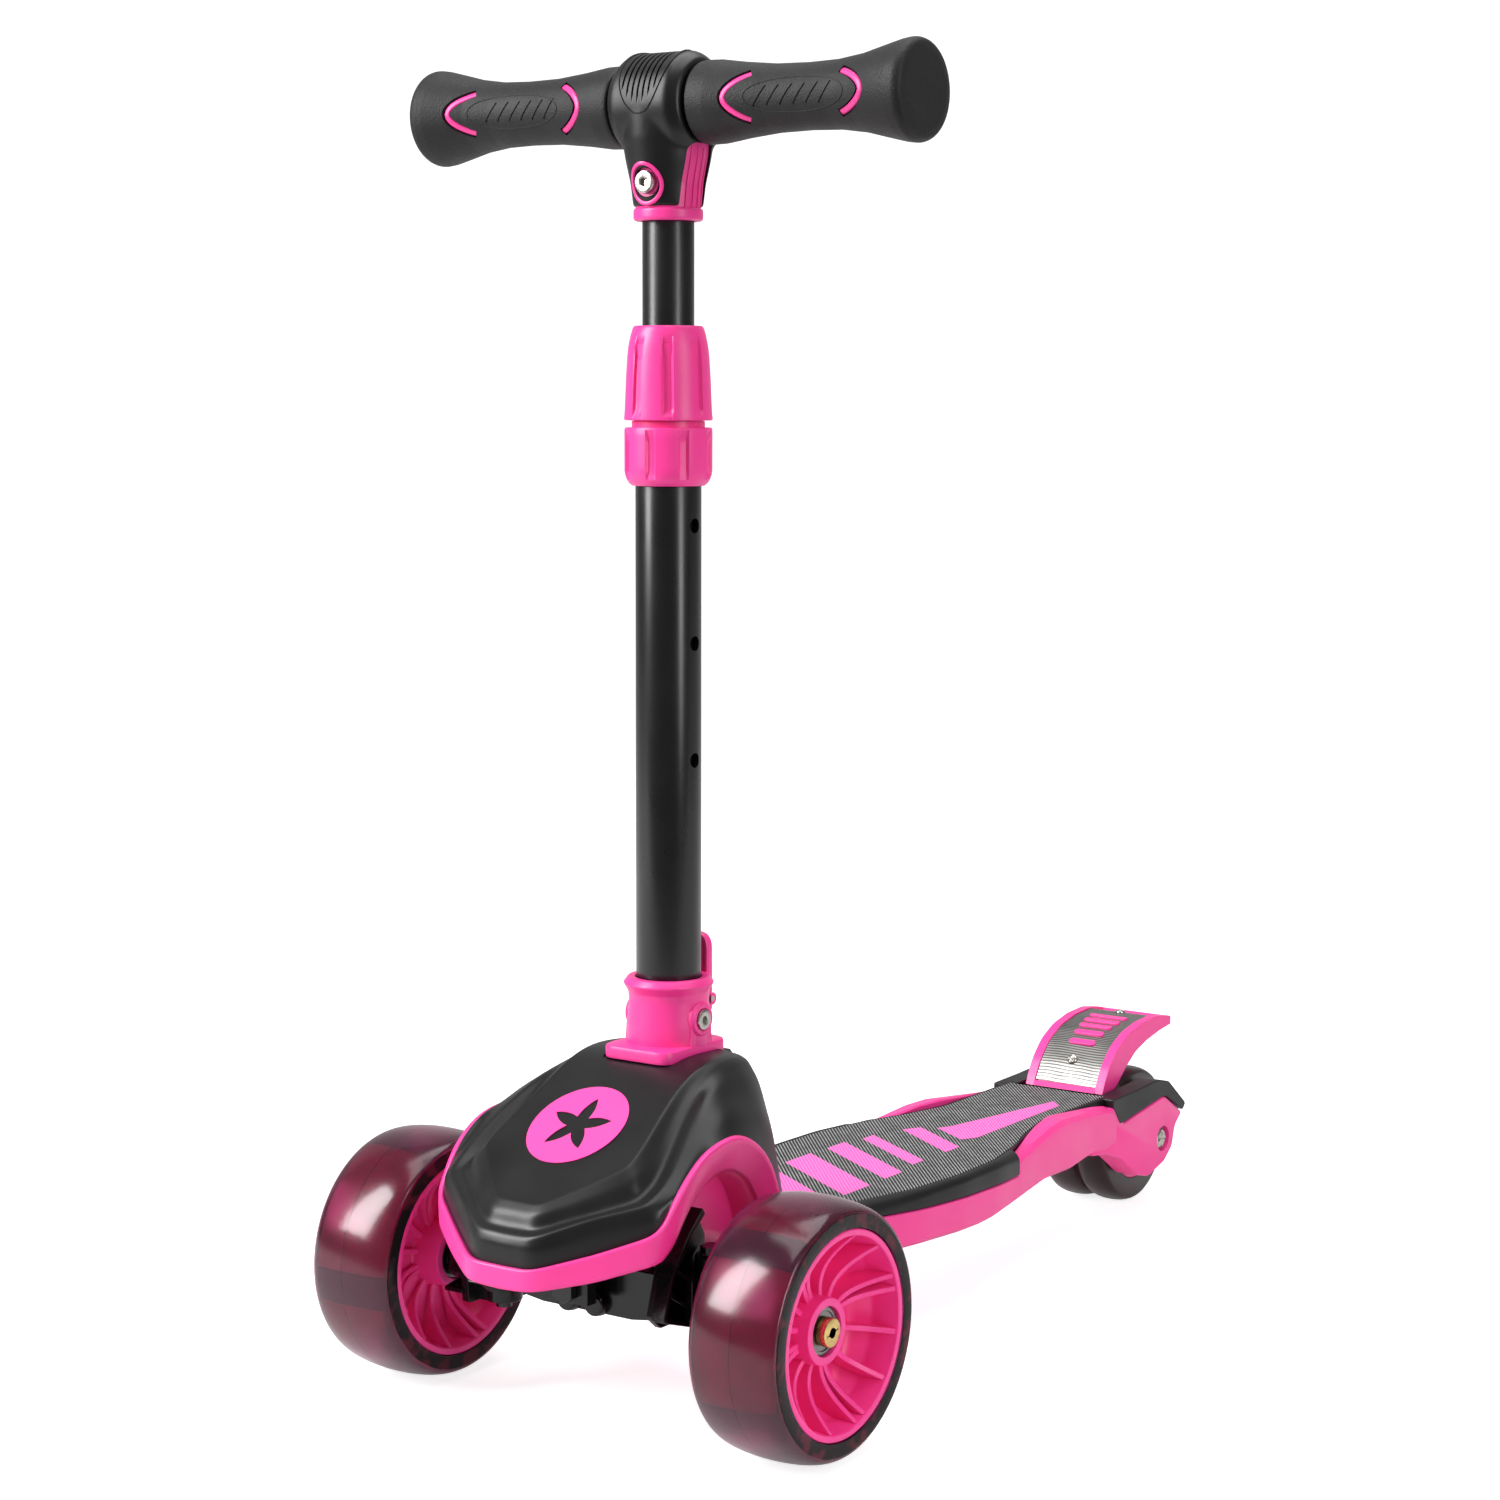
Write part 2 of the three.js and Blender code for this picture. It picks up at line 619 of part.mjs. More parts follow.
const matFloor = DECK_TOP_Z - MAT_THICKNESS;
const wingSide = [
  [deckEnd - 8 + GAP, shellTop + 4 + GAP],
  [deckEnd + GAP + 0.1, shellTop + 4 + GAP],
  [deckEnd + 5.1, rearZ + 19.2],
  [WHEELBASE + 1, rearZ + 26],
  [WHEELBASE + 24.5, rearZ + 12.3],
  [WHEELBASE + 28, rearZ + 16],
  [WHEELBASE + 6, rearZ + 33],
  [WHEELBASE - 8, rearZ + 36],
  [deckEnd + 20, DECK_TOP_Z],
  [deckEnd - 8 + GAP, DECK_TOP_Z - 3],
];
const wingInner = ARM_INNER_X + 3.2;
function deckTray() {
  const plate = prismZ(mirrored(trayHalf), shellTop, DECK_TOP_Z);
  const matRoom = mirrored(matHalf.map(([x, y]) => [x + GAP, y]));
  const pocket = prismZ(matRoom, matFloor - GAP, DECK_TOP_Z + 1);
  const front = box(-60, 60, deckStart + 29, deckStart + 31, matFloor - GAP, DECK_TOP_Z + 1);
  const wings = [1, -1].map((s) => prismX(wingSide, ...span(s * wingInner, s * ARM_OUTER_X)));
  const bridge = [1, -1].map((s) => {
    const wide = span(s * (narrow - 3), s * (ARM_OUTER_X - 1));
    return box(...wide, deckEnd - 8 + GAP, deckEnd - 1, shellTop + 5, DECK_TOP_Z - 2);
  });
  const pinHole = rodX(PIN_D / 2 + GAP, brakeY, brakeZ, -ARM_OUTER_X + 6, ARM_OUTER_X - 6);
  return cut(joined(cut(plate, pocket.subtract(front)), ...wings, ...bridge), pinHole);
}
piece("deck_tray", deckTray(), black);
const matOutline = matHalf.map(([x, y], i) => [x, y + (i ? 0 : 2)]);
piece("grip_mat", prismZ(mirrored(matOutline), matFloor, DECK_TOP_Z), rubber);

// ---------- hood over the truck ----------
// The crown is the hood's outline seen from the side, and the seam is where the trim starts.
const hoodRear = deckStart + 25;
const crown = [
  [NOSE_Y, frontZ + 27.5],
  [NOSE_Y + 1, frontZ + 38],
  [NOSE_Y + 8, frontZ + 51],
  [COLUMN_Y - 27.2, hoodTop],
  [COLUMN_Y + 13, hoodTop],
  [COLUMN_Y + 21, hoodTop - 7],
  [hoodRear - 7, frontZ + 70],
  [hoodRear, DECK_TOP_Z + GAP],
];
const archY = 14;
const archTop = frontZ + 80;
const seam = [
  [NOSE_Y, frontZ + 27.5],
  [NOSE_Y + 21, frontZ + 45],
  [archY - 61, frontZ + 50],
  [archY - 52, frontZ + 57],
  [archY - 34, archTop - 7],
  [archY - 20, archTop - 1],
  [archY, archTop],
  [archY + 17, archTop - 8],
  [archY + 28, archTop - 18],
  [archY + 37, frontZ + 44],
  [archY + 40, DECK_TOP_Z + GAP],
];
const trimEdge = [
  [NOSE_Y, frontZ + 17.5],
  [NOSE_Y + 21, frontZ + 27],
  [archY - 57, frontZ + 32],
  [archY - 46, frontZ + 40],
  [archY - 31, frontZ + 53],
  [archY - 14, frontZ + 60],
  [archY + 4, frontZ + 62],
  [archY + 20, frontZ + 58],
  [archY + 30, frontZ + 47],
  [archY + 35, DECK_TOP_Z + GAP],
];
const hoodPlan = [
  [16.5, NOSE_Y],
  [42, NOSE_Y + 15],
  [HOOD_HALF_WIDTH, NOSE_Y + 35],
  [HOOD_HALF_WIDTH, archY + 42],
  [46, hoodRear],
];
const hoodFront = [
  [HOOD_HALF_WIDTH, DECK_TOP_Z - 10],
  [HOOD_HALF_WIDTH, frontZ + 70],
  [HOOD_HALF_WIDTH - 7, frontZ + 82],
  [38, hoodTop - 5],
  [29, hoodTop + 1],
];
const inPlan = (d) => mirrored(offsetLine(hoodPlan, -d));
const inFront = (d) => mirrored(offsetLine(hoodFront, -d));

const linerX = 44;
const flangeHalf = footR + 0.6;
const flangeFront = COLUMN_Y - footR - 8.6;
const flangeBack = COLUMN_Y + footR + 2.4;
function hoodCover() {
  const around = (plan, front) => prismZ(plan, 0, hoodTop + 5).intersect(prismY(front, -200, 200));
  const outer = prismX([...crown, ...[...seam].reverse()], -100, 100);
  const innerCrown = offsetLine(crown, HOOD_WALL);
  const below = [
    [hoodRear - HOOD_WALL, 10],
    [NOSE_Y + HOOD_WALL, 10],
  ];
  const inner = prismX([...innerCrown, ...below], -100, 100);
  const reach = flangeHalf + 0.8;
  return cut(
    outer.intersect(around(mirrored(hoodPlan), mirrored(hoodFront))),
    inner.intersect(around(inPlan(HOOD_WALL), inFront(HOOD_WALL))),
    box(-reach, reach, flangeFront - 0.8, flangeBack + 4, footBottom - GAP, hoodTop + 9),
    box(-19, 19, COLUMN_Y + 10, hoodRear + 2, hingeZ - 11, hoodTop + 1),
  );
}
piece("hood_cover", hoodCover(), black);

function hoodTrim() {
  const lowSeam = offsetLine(seam, GAP);
  const band = prismX([...lowSeam, ...[...trimEdge].reverse()], -100, 100);
  const plan = prismZ(mirrored(hoodPlan), 0, hoodTop);
  const wall = cut(plan, prismZ(inPlan(SHELL_WALL), -1, hoodTop + 1));
  // The roof and the inner side of the arch over each front wheel.
  const arch = offsetLine(trimEdge.slice(2, -1), -GAP);
  const roof = offsetLine(arch, -3);
  const web = [[arch[0][0], tongueZ], ...arch, [arch.at(-1)[0], tongueZ]];
  const liners = [1, -1].flatMap((s) => [
    prismX([...arch, ...[...roof].reverse()], ...span(s * linerX, s * (HOOD_HALF_WIDTH - 0.5))),
    prismX(web, ...span(s * linerX, s * (linerX + SHELL_WALL))),
  ]);
  const made = joined(band.intersect(wall), ...liners);
  return made.intersect(plan).intersect(prismY(mirrored(hoodFront), -200, 200));
}
piece("hood_trim", hoodTrim(), pink);

// ---------- folding joint ----------
const hingeR = HINGE_D / 2;
const earFrom = 11;
const earTo = 16;
const foldBase = joined(
  box(-17, 17, COLUMN_Y - 25, COLUMN_Y + 17, tongueZ + 6 + GAP, footBottom - GAP),
  ...[1, -1].flatMap((s) => {
    const wide = span(s * earFrom, s * earTo);
    return [
      rodX(hingeR, hingeY, hingeZ, ...wide),
      box(...wide, COLUMN_Y + 10, hingeY, hingeZ - hingeR, hingeZ + hingeR - 0.2),
    ];
  }),
);
const foldBore = rodX(PIN_D / 2 + GAP, hingeY, hingeZ, -20, 20);
const latchSlot = box(-5, 5, COLUMN_Y - 15, COLUMN_Y + 5, footBottom - 12, footBottom);
piece("fold_base", cut(foldBase, foldBore, latchSlot), blackSteel);
piece("fold_pin", rodX(PIN_D / 2, hingeY, hingeZ, -earTo - 0.5, earTo + 0.5), steel);

const footBore = lowerR + GAP;
const boltZ = tubeBottom + 5;
const leverY = COLUMN_Y + footR + 5.4;
const leverZ = footBottom + 23;
const leverHalf = 8;
const leverPinR = 1.5;
const boltR = BOLT_D / 2;
function columnFoot() {
  const corner = 8;
  const flange = prismZ(
    mirrored([
      [flangeHalf - corner, flangeFront],
      [flangeHalf - 2.4, flangeFront + 2.4],
      [flangeHalf, flangeFront + corner],
      [flangeHalf, flangeBack - corner],
      [flangeHalf - 2.4, flangeBack - 2.4],
      [flangeHalf - corner, flangeBack],
    ]),
    footBottom,
    footBottom + 6.5,
  );
  const body = solid(
    new THREE.LatheGeometry(
      [
        [0, footBottom + 1],
        [footR + 0.3, footBottom + 1],
        [footR + 0.3, footBottom + 9],
        [footR - 0.6, footTop - 15],
        [footR - 0.4, footTop - 9],
        [footR + 2, footTop - 4],
        [footR + 1.2, footTop],
        [0, footTop],
      ].map(([r, h]) => new THREE.Vector2(r, h)),
      24,
    )
      .rotateX(Math.PI / 2)
      .translate(0, COLUMN_Y, 0),
  );
  const knuckle = joined(
    rodX(hingeR, hingeY, hingeZ, -earFrom + 0.5, earFrom - 0.5),
    box(-earFrom + 0.5, earFrom - 0.5, hingeY - 4, hingeY + 4, hingeZ, footBottom + 4),
    box(-earFrom + 0.5, earFrom - 0.5, flangeBack - 8, hingeY + 4, footBottom, footBottom + 4),
  );
  const bosses = [1, -1].map((s) =>
    rodX(7, COLUMN_Y, boltZ, ...span(s * 12, s * (footR + 0.8)), 16),
  );
  const leverEars = [1, -1].map((s) => {
    const wide = span(s * (leverHalf + 0.6), s * (leverHalf + 4));
    return box(...wide, COLUMN_Y + 10, leverY + 3, leverZ - 5, leverZ + 5);
  });
  return cut(
    joined(flange, body, knuckle, ...bosses, ...leverEars),
    rodZ(footBore, 0, COLUMN_Y, tubeBottom - GAP, footTop + 1, 24),
    rodX(PIN_D / 2 + GAP, hingeY, hingeZ, -20, 20),
    rodX(boltR + GAP, COLUMN_Y, boltZ, -30, 30),
    rodX(leverPinR + GAP, leverY, leverZ, -20, 20, 12),
  );
}
const stem = new THREE.Group();
frame.add(stem);
piece("column_foot", columnFoot(), pink, stem);

const lowerTube = cut(
  rodZ(lowerR, 0, COLUMN_Y, tubeBottom, tubeTop, 24),
  rodZ(lowerBore, 0, COLUMN_Y, tubeBottom - 1, tubeTop + 1, 24),
  rodX(boltR + GAP, COLUMN_Y, boltZ, -30, 30, 16),
  ...Array.from({ length: HOLES }, (_, i) =>
    rodX(HOLE_D / 2, COLUMN_Y, topHoleZ - i * HOLE_PITCH, 5, lowerR + 5, 10),
  ),
);
piece("lower_tube", lowerTube, blackSteel, stem);
const boltHeadX = footR + 0.8 + GAP;
const footBolt = joined(
  rodX(boltR, COLUMN_Y, boltZ, -boltHeadX - 3, boltHeadX + 1),
  rodX(4.6, COLUMN_Y, boltZ, boltHeadX, boltHeadX + 2.4),
  rodX(4.4, COLUMN_Y, boltZ, -boltHeadX - 3, -boltHeadX, 6),
);
const footSocket = rodX(1.6, COLUMN_Y, boltZ, boltHeadX + 1, boltHeadX + 3, 6);
piece("foot_bolt", cut(footBolt, footSocket), steel, stem);

const lever = prismX(
  [
    [leverY - 1.4, leverZ - 5],
    [leverY + 1.8, leverZ - 5],
    [leverY + 1.8, leverZ + 20],
    [leverY - 1, footTop + 18],
    [leverY - 5, footTop + 18],
    [leverY - 2, footTop + 4],
    [leverY - 1.4, leverZ + 12],
  ],
  -leverHalf,
  leverHalf,
);
const leverBarrel = rodX(2.9, leverY, leverZ, -leverHalf, leverHalf, 16);
const leverMade = cut(joined(lever, leverBarrel), rodX(leverPinR + GAP, leverY, leverZ, -20, 20, 12));
piece("fold_lever", leverMade, pink, stem);
const leverPin = rodX(leverPinR, leverY, leverZ, -leverHalf - 3.5, leverHalf + 3.5, 12);
piece("fold_lever_pin", leverPin, steel, stem);

// ---------- collar and twist clamp ----------
const collarR = lowerR + GAP + COLLAR_WALL;
const slideR = upperR + RUN;
const sleeveR = collarR - 4.2;
const collar = turnedZ(
  [
    [lowerR + GAP, collarZ],
    [collarR - 3.6, collarZ],
    [collarR, collarZ + 5],
    [collarR, neckZ],
    [collarR - 3.2, neckZ],
    [collarR - 3.2, nutZ - GAP],
    [sleeveR, nutZ - GAP],
    [sleeveR, nutTop - 9],
    [slideR, nutTop - 9],
    [slideR, tubeTop + GAP],
    [lowerR + GAP, tubeTop + GAP],
  ],
  0,
  COLUMN_Y,
  24,
);
const FLUTES = 6;
const flutes = (radius, z0, z1) =>
  Array.from({ length: FLUTES }, (_, i) => {
    const angle = ((i + 0.5) * 2 * Math.PI) / FLUTES;
    return rodZ(1.5, radius * Math.cos(angle), COLUMN_Y + radius * Math.sin(angle), z0, z1, 6);
  });
piece("collar_ring", collar, pink, stem);
const nut = turnedZ(
  [
    [sleeveR + RUN, nutZ],
    [collarR + 0.1, nutZ],
    [collarR + 0.1, nutZ + 6],
    [collarR - 1.8, nutTop - 6],
    [collarR - 4.5, nutTop],
    [slideR, nutTop],
    [slideR, nutTop - 8.5],
    [sleeveR + RUN, nutTop - 8.5],
  ],
  0,
  COLUMN_Y,
  24,
);
piece("clamp_nut", cut(nut, ...flutes(collarR + 0.6, nutZ + 5, nutTop - 8)), pink, stem);

// ---------- sliding handlebar ----------
const bar = new THREE.Group();
stem.add(bar);
const headBoltZ = innerTop - 11;
const neckFoot = innerTop - 22;
const buttonR = HOLE_D / 2 - 0.4;
const innerTube = cut(
  rodZ(upperR, 0, COLUMN_Y, innerBottom, innerTop, 24),
  rodZ(upperBore, 0, COLUMN_Y, innerBottom - 1, innerTop + 1, 24),
  rodX(buttonR + GAP, COLUMN_Y, buttonZ, 0, upperR + 2, 16),
  rodY(boltR + GAP, 0, headBoltZ, COLUMN_Y - 30, COLUMN_Y + 30, 12),
);
piece("upper_tube", innerTube, blackSteel, bar);
const buttonTip = lowerBore - 2 * GAP;
const button = joined(
  rodX(buttonR, COLUMN_Y, buttonZ, 2.5, buttonTip, 16),
  box(-1, 2.6, COLUMN_Y - 2.5, COLUMN_Y + 2.5, buttonZ - 18, buttonZ + 2.5),
);
piece("snap_button", button, steel, bar);

const sleeveTop = innerTop + 5;
const ring = turnedZ(
  [
    [slideR, neckFoot - 6],
    [slideR + 3.6, neckFoot - 6],
    [slideR + 3.6, neckFoot - GAP],
    [slideR + 2, neckFoot - GAP],
    [slideR + 2, sleeveTop],
    [slideR, sleeveTop],
  ],
  0,
  COLUMN_Y,
  24,
);
const throughBolt = rodY(boltR + GAP, 0, headBoltZ, COLUMN_Y - 30, COLUMN_Y + 30, 12);
piece("head_ring", cut(ring, throughBolt), pink, bar);

const neckR = slideR + 3.5;
function barHead() {
  const neck = solid(
    new THREE.LatheGeometry(
      [
        [0, neckFoot],
        [neckR, neckFoot],
        [neckR + 1, innerTop - 8],
        [HEAD_HALF_WIDTH - 0.5, innerTop + 8],
        [HEAD_HALF_WIDTH - 0.5, barZ],
        [0, barZ],
      ].map(([r, h]) => new THREE.Vector2(r, h)),
      24,
    )
      .rotateX(Math.PI / 2)
      .translate(0, COLUMN_Y, 0),
  );
  const crossHead = rodX(HEAD_RADIUS, COLUMN_Y, barZ, -HEAD_HALF_WIDTH, HEAD_HALF_WIDTH, 28);
  const windows = [1, -1].map((s) => {
    const wide = span(s * (slideR + 2.6), s * 30);
    return box(...wide, COLUMN_Y - 7, COLUMN_Y + 7, neckFoot + 3, innerTop + 2);
  });
  return cut(
    joined(neck, crossHead),
    rodZ(slideR + 2 + GAP, 0, COLUMN_Y, neckFoot - 1, sleeveTop + GAP, 24),
    rodX(BAR_TUBE_D / 2 + GAP, COLUMN_Y, barZ, -40, 40, 20),
    throughBolt,
    ...windows,
  );
}
piece("bar_head", barHead(), black, bar);
const headFaceY = COLUMN_Y - neckR - 1.6;
const headBolt = joined(
  rodY(boltR, 0, headBoltZ, headFaceY - 1, COLUMN_Y + neckR + 4),
  rodY(5.2, 0, headBoltZ, headFaceY - 3.4, headFaceY),
);
const headSocket = rodY(1.8, 0, headBoltZ, headFaceY - 5, headFaceY - 1.6, 6);
piece("head_bolt", cut(headBolt, headSocket), steel, bar);

const barHalf = BAR_LENGTH / 2;
const tubeEnd = barHalf - 15;
const crossTube = cut(
  rodX(BAR_TUBE_D / 2, COLUMN_Y, barZ, -tubeEnd, tubeEnd, 24),
  rodX(BAR_TUBE_D / 2 - TUBE_WALL, COLUMN_Y, barZ, -tubeEnd - 1, tubeEnd + 1, 24),
);
piece("cross_tube", crossTube, blackSteel, bar);
const coreBore = BAR_TUBE_D / 2 + GAP;
const coreR = coreBore + GRIP_CORE_WALL;
const gripStart = HEAD_HALF_WIDTH + 1.2;
for (const [side, sign] of SIDES) {
  const core = turnedX(
    [
      [coreBore, gripStart],
      [coreR, gripStart],
      [coreR, tubeEnd + 1],
      [coreBore, tubeEnd + 1],
    ],
    COLUMN_Y,
    barZ,
    20,
  );
  const flare = barHalf - 3.8;
  const grip = solid(
    new THREE.LatheGeometry(
      [
        [coreR + GAP, gripStart],
        [coreR + 5.5, gripStart],
        [coreR + 4.8, gripStart + 16],
        [coreR + 2.2, gripStart + 40],
        [coreR + 1.8, gripStart + 60],
        [coreR + 3.2, gripStart + 85],
        [coreR + 6, gripStart + 100],
        [coreR + 9.4, flare - 4],
        [coreR + 9.9, flare],
        [coreR + 7.5, barHalf - 1],
        [coreR + 3, barHalf],
        [0, barHalf],
        [0, tubeEnd + 1 + GAP],
        [coreR + GAP, tubeEnd + 1 + GAP],
        [coreR + GAP, gripStart],
      ].map(([r, h]) => new THREE.Vector2(r, h)),
      24,
    )
      .rotateZ(-Math.PI / 2)
      .translate(0, COLUMN_Y, barZ),
  );
  const mirror = (m) => (sign > 0 ? m : m.mirror([1, 0, 0]));
  piece(`grip_core_${side}`, mirror(core), pink, bar);
  piece(`grip_${side}`, mirror(grip), rubber, bar);
}

// ---------- foot brake over the rear wheels ----------
const fenderHalf = 25.5;
// The top of the fender seen from the side, measured from its hinge.
const fenderTop = [
  [-3.5, 2.5],
  [-1, 9],
  [5, 18.5],
  [15, 28],
  [29, 34.5],
  [46, 38],
  [64, 39],
  [84, 36.5],
].map(([y, z]) => [brakeY + y, brakeZ + z]);
const fenderLow = [
  [86, 31],
  [66, 29],
  [47, 26],
  [35, 21],
  [24, 13.5],
  [14, 5],
  [4, 2],
].map(([y, z]) => [brakeY + y, brakeZ + z]);
function fender() {
  const shape = prismX([...fenderTop, ...fenderLow], -fenderHalf, fenderHalf);
  const seat = offsetLine(fenderTop, 1.6);
  const air = [...seat, [brakeY + 84, brakeZ + 60], [brakeY - 20, brakeZ + 60]];
  const recess = prismX(air, -fenderHalf + 4.6, fenderHalf - 4.6);
  const tipKept = box(-40, 40, brakeY + 76, brakeY + 100, 0, 300);
  const barrel = rodX(4, brakeY, brakeZ, -ARM_INNER_X + 2, ARM_INNER_X - 2);
  const web = box(-ARM_INNER_X + 2, ARM_INNER_X - 2, brakeY - 3, brakeY + 3.5, brakeZ, brakeZ + 5);
  return cut(
    joined(cut(shape, cut(recess, tipKept)), barrel, web),
    rodX(PIN_D / 2 + GAP, brakeY, brakeZ, -40, 40),
    box(-7, 7, brakeY - 6, brakeY + 7, brakeZ - 6, brakeZ + 6.2),
  );
}
piece("brake_fender", fender(), pink);
const plateLine = fenderTop.slice(1, -1);
const plateBelow = offsetLine(plateLine, 1.6 - GAP);
const plateAbove = offsetLine(plateLine, 0.3);
const steelPlate = prismX([...plateBelow, ...plateAbove.reverse()], -fenderHalf + 5, fenderHalf - 5);
piece("brake_plate", steelPlate, steel);
piece("brake_pin", rodX(PIN_D / 2, brakeY, brakeZ, -ARM_OUTER_X + 7, ARM_OUTER_X - 7), steel);
const brakeSpring = turnedX(
  [
    [PIN_D / 2 + GAP, -6],
    [PIN_D / 2 + 2, -6],
    [PIN_D / 2 + 2, 6],
    [PIN_D / 2 + GAP, 6],
  ],
  brakeY,
  brakeZ,
  16,
);
piece("brake_spring", brakeSpring, steel);
for (const [name, at] of [["lower", 1], ["upper", 5]]) {
  const [y0, z0] = fenderTop[at];
  const [y1, z1] = fenderTop[at + 1];
  const middle = new THREE.Vector3(0, (y0 + y1) / 2, (z0 + z1) / 2);
  const normal = new THREE.Vector3(0, -(z1 - z0), y1 - y0).normalize();
  const head = new THREE.Group();
  head.position.copy(middle.addScaledVector(normal, GAP));
  head.quaternion.setFromUnitVectors(new THREE.Vector3(0, 0, 1), normal);
  frame.add(head);
  piece(`brake_screw_${name}`, rodZ(3, 0, 0, 0, 1.4, 16), steel, head);
}

export default scooter;
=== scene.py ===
"""Looks of a three-wheeled lean-to-steer kick scooter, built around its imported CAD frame."""

import json
import math

import bmesh
import bpy
from mathutils import Matrix, Vector


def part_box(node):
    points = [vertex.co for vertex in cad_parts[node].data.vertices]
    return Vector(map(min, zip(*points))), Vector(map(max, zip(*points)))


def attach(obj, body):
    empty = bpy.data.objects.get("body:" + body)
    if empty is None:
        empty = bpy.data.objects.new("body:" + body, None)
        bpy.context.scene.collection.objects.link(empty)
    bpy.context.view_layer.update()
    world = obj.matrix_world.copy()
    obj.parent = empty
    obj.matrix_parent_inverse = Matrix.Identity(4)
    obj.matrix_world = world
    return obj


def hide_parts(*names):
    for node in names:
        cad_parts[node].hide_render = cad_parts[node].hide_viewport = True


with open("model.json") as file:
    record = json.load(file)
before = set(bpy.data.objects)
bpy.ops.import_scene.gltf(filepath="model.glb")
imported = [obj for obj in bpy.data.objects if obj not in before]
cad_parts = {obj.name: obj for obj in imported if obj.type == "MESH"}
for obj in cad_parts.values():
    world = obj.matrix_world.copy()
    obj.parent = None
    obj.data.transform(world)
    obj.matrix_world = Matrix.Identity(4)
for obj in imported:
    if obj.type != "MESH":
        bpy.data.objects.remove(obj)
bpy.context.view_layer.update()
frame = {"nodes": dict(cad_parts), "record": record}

# ---------- places, in millimetres ----------
# X runs to the rider's left, Y backwards from the front axle, Z up from the ground.
MM = 0.001
tyre_low, tyre_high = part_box("front_tyre_left")
TO_FRAME = Matrix.Translation((0, (tyre_low.y + tyre_high.y) / 2, 0)) @ Matrix.Diagonal((MM, MM, MM, 1))
TO_MM = TO_FRAME.inverted()


def low_of(node):
    return TO_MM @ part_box(node)[0]


def high_of(node):
    return TO_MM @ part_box(node)[1]


def middle_of(node):
    return (low_of(node) + high_of(node)) / 2


WHEEL = middle_of("front_tyre_left")
REAR = middle_of("rear_tyre_left")
COLUMN_Y = middle_of("lower_tube").y
BAR_Z = middle_of("cross_tube").z
COLLAR_Z = low_of("collar_ring").z
NUT_Z = low_of("clamp_nut").z
NUT_TOP = high_of("clamp_nut").z
TUBE_BOTTOM = low_of("lower_tube").z
TUBE_TOP = high_of("lower_tube").z
FOOT_Z = TUBE_BOTTOM - 13.3
FOOT_TOP = high_of("column_foot").z
RING_Z = low_of("head_ring").z
HINGE = middle_of("fold_pin")
BRAKE = middle_of("brake_pin")
HEAD_BOLT_Z = middle_of("head_bolt").z
FOOT_BOLT_Z = middle_of("foot_bolt").z
DECK_TOP = high_of("grip_mat").z
SIDES = (("left", 1), ("right", -1))
ROUND = 96
TURN = 2 * math.pi


# ---------- shapes ----------
def fillet(points, radius, steps=5, closed=True):
    """The outline with its corners turned into arcs. A point may give its own radius as a third number."""
    made = []
    count = len(points)
    for i, point in enumerate(points):
        here = Vector(point[:2])
        r = point[2] if len(point) > 2 else radius
        if r == 0 or (not closed and i in (0, count - 1)):
            made.append(here)
            continue
        back = Vector(points[i - 1][:2]) - here
        ahead = Vector(points[(i + 1) % count][:2]) - here
        reach = min(back.length, ahead.length) * 0.49
        half = back.angle(ahead) / 2
        if half > math.pi / 2 - 0.01:
            made.append(here)
            continue
        cut = min(r / math.tan(half), reach)
        start, end = here + back.normalized() * cut, here + ahead.normalized() * cut
        for k in range(steps + 1):
            t = k / steps
            made.append((1 - t) ** 2 * start + 2 * t * (1 - t) * here + t * t * end)
    return made


ALONG = {"x": (1, 0, 0), "y": (0, 1, 0), "z": (0, 0, 1)}


def only_verts(geometry):
    return [g for g in geometry if isinstance(g, bmesh.types.BMVert)]


def wire(bm, points, closed=True):
    """Vertices and edges along a line of points."""
    verts = [bm.verts.new(p) for p in points]
    ends = verts[1:] + verts[:1] if closed else verts[1:]
    edges = [bm.edges.new((a, b)) for a, b in zip(verts, ends)]
    return verts, edges


def bridged(bm, rings, closed=False):
    """Skins neighbouring rings, and the last one back to the first if closed."""
    for (_, a), (_, b) in zip(rings, rings[1:] + rings[:1] if closed else rings[1:]):
        bmesh.ops.bridge_loops(bm, edges=a + b)


def prism(bm, outline, axis, start, end):
    """A solid of one outline: (y, z) along X, (x, z) along Y or (x, y) along Z."""
    place = {
        "x": lambda u, v: (start, u, v),
        "y": lambda u, v: (u, start, v),
        "z": lambda u, v: (u, v, start),
    }[axis]
    verts, _ = wire(bm, [place(p[0], p[1]) for p in outline])
    face = bm.faces.new(verts)
    grown = only_verts(bmesh.ops.extrude_face_region(bm, geom=[face], use_keep_orig=True)["geom"])
    bmesh.ops.translate(bm, verts=grown, vec=Vector(ALONG[axis]) * (end - start))
    return verts + grown


def block(bm, low, high):
    made = bmesh.ops.create_cube(bm, size=1)["verts"]
    size = Vector(high) - Vector(low)
    bmesh.ops.scale(bm, verts=made, vec=size)
    bmesh.ops.translate(bm, verts=made, vec=(Vector(high) + Vector(low)) / 2)
    return made


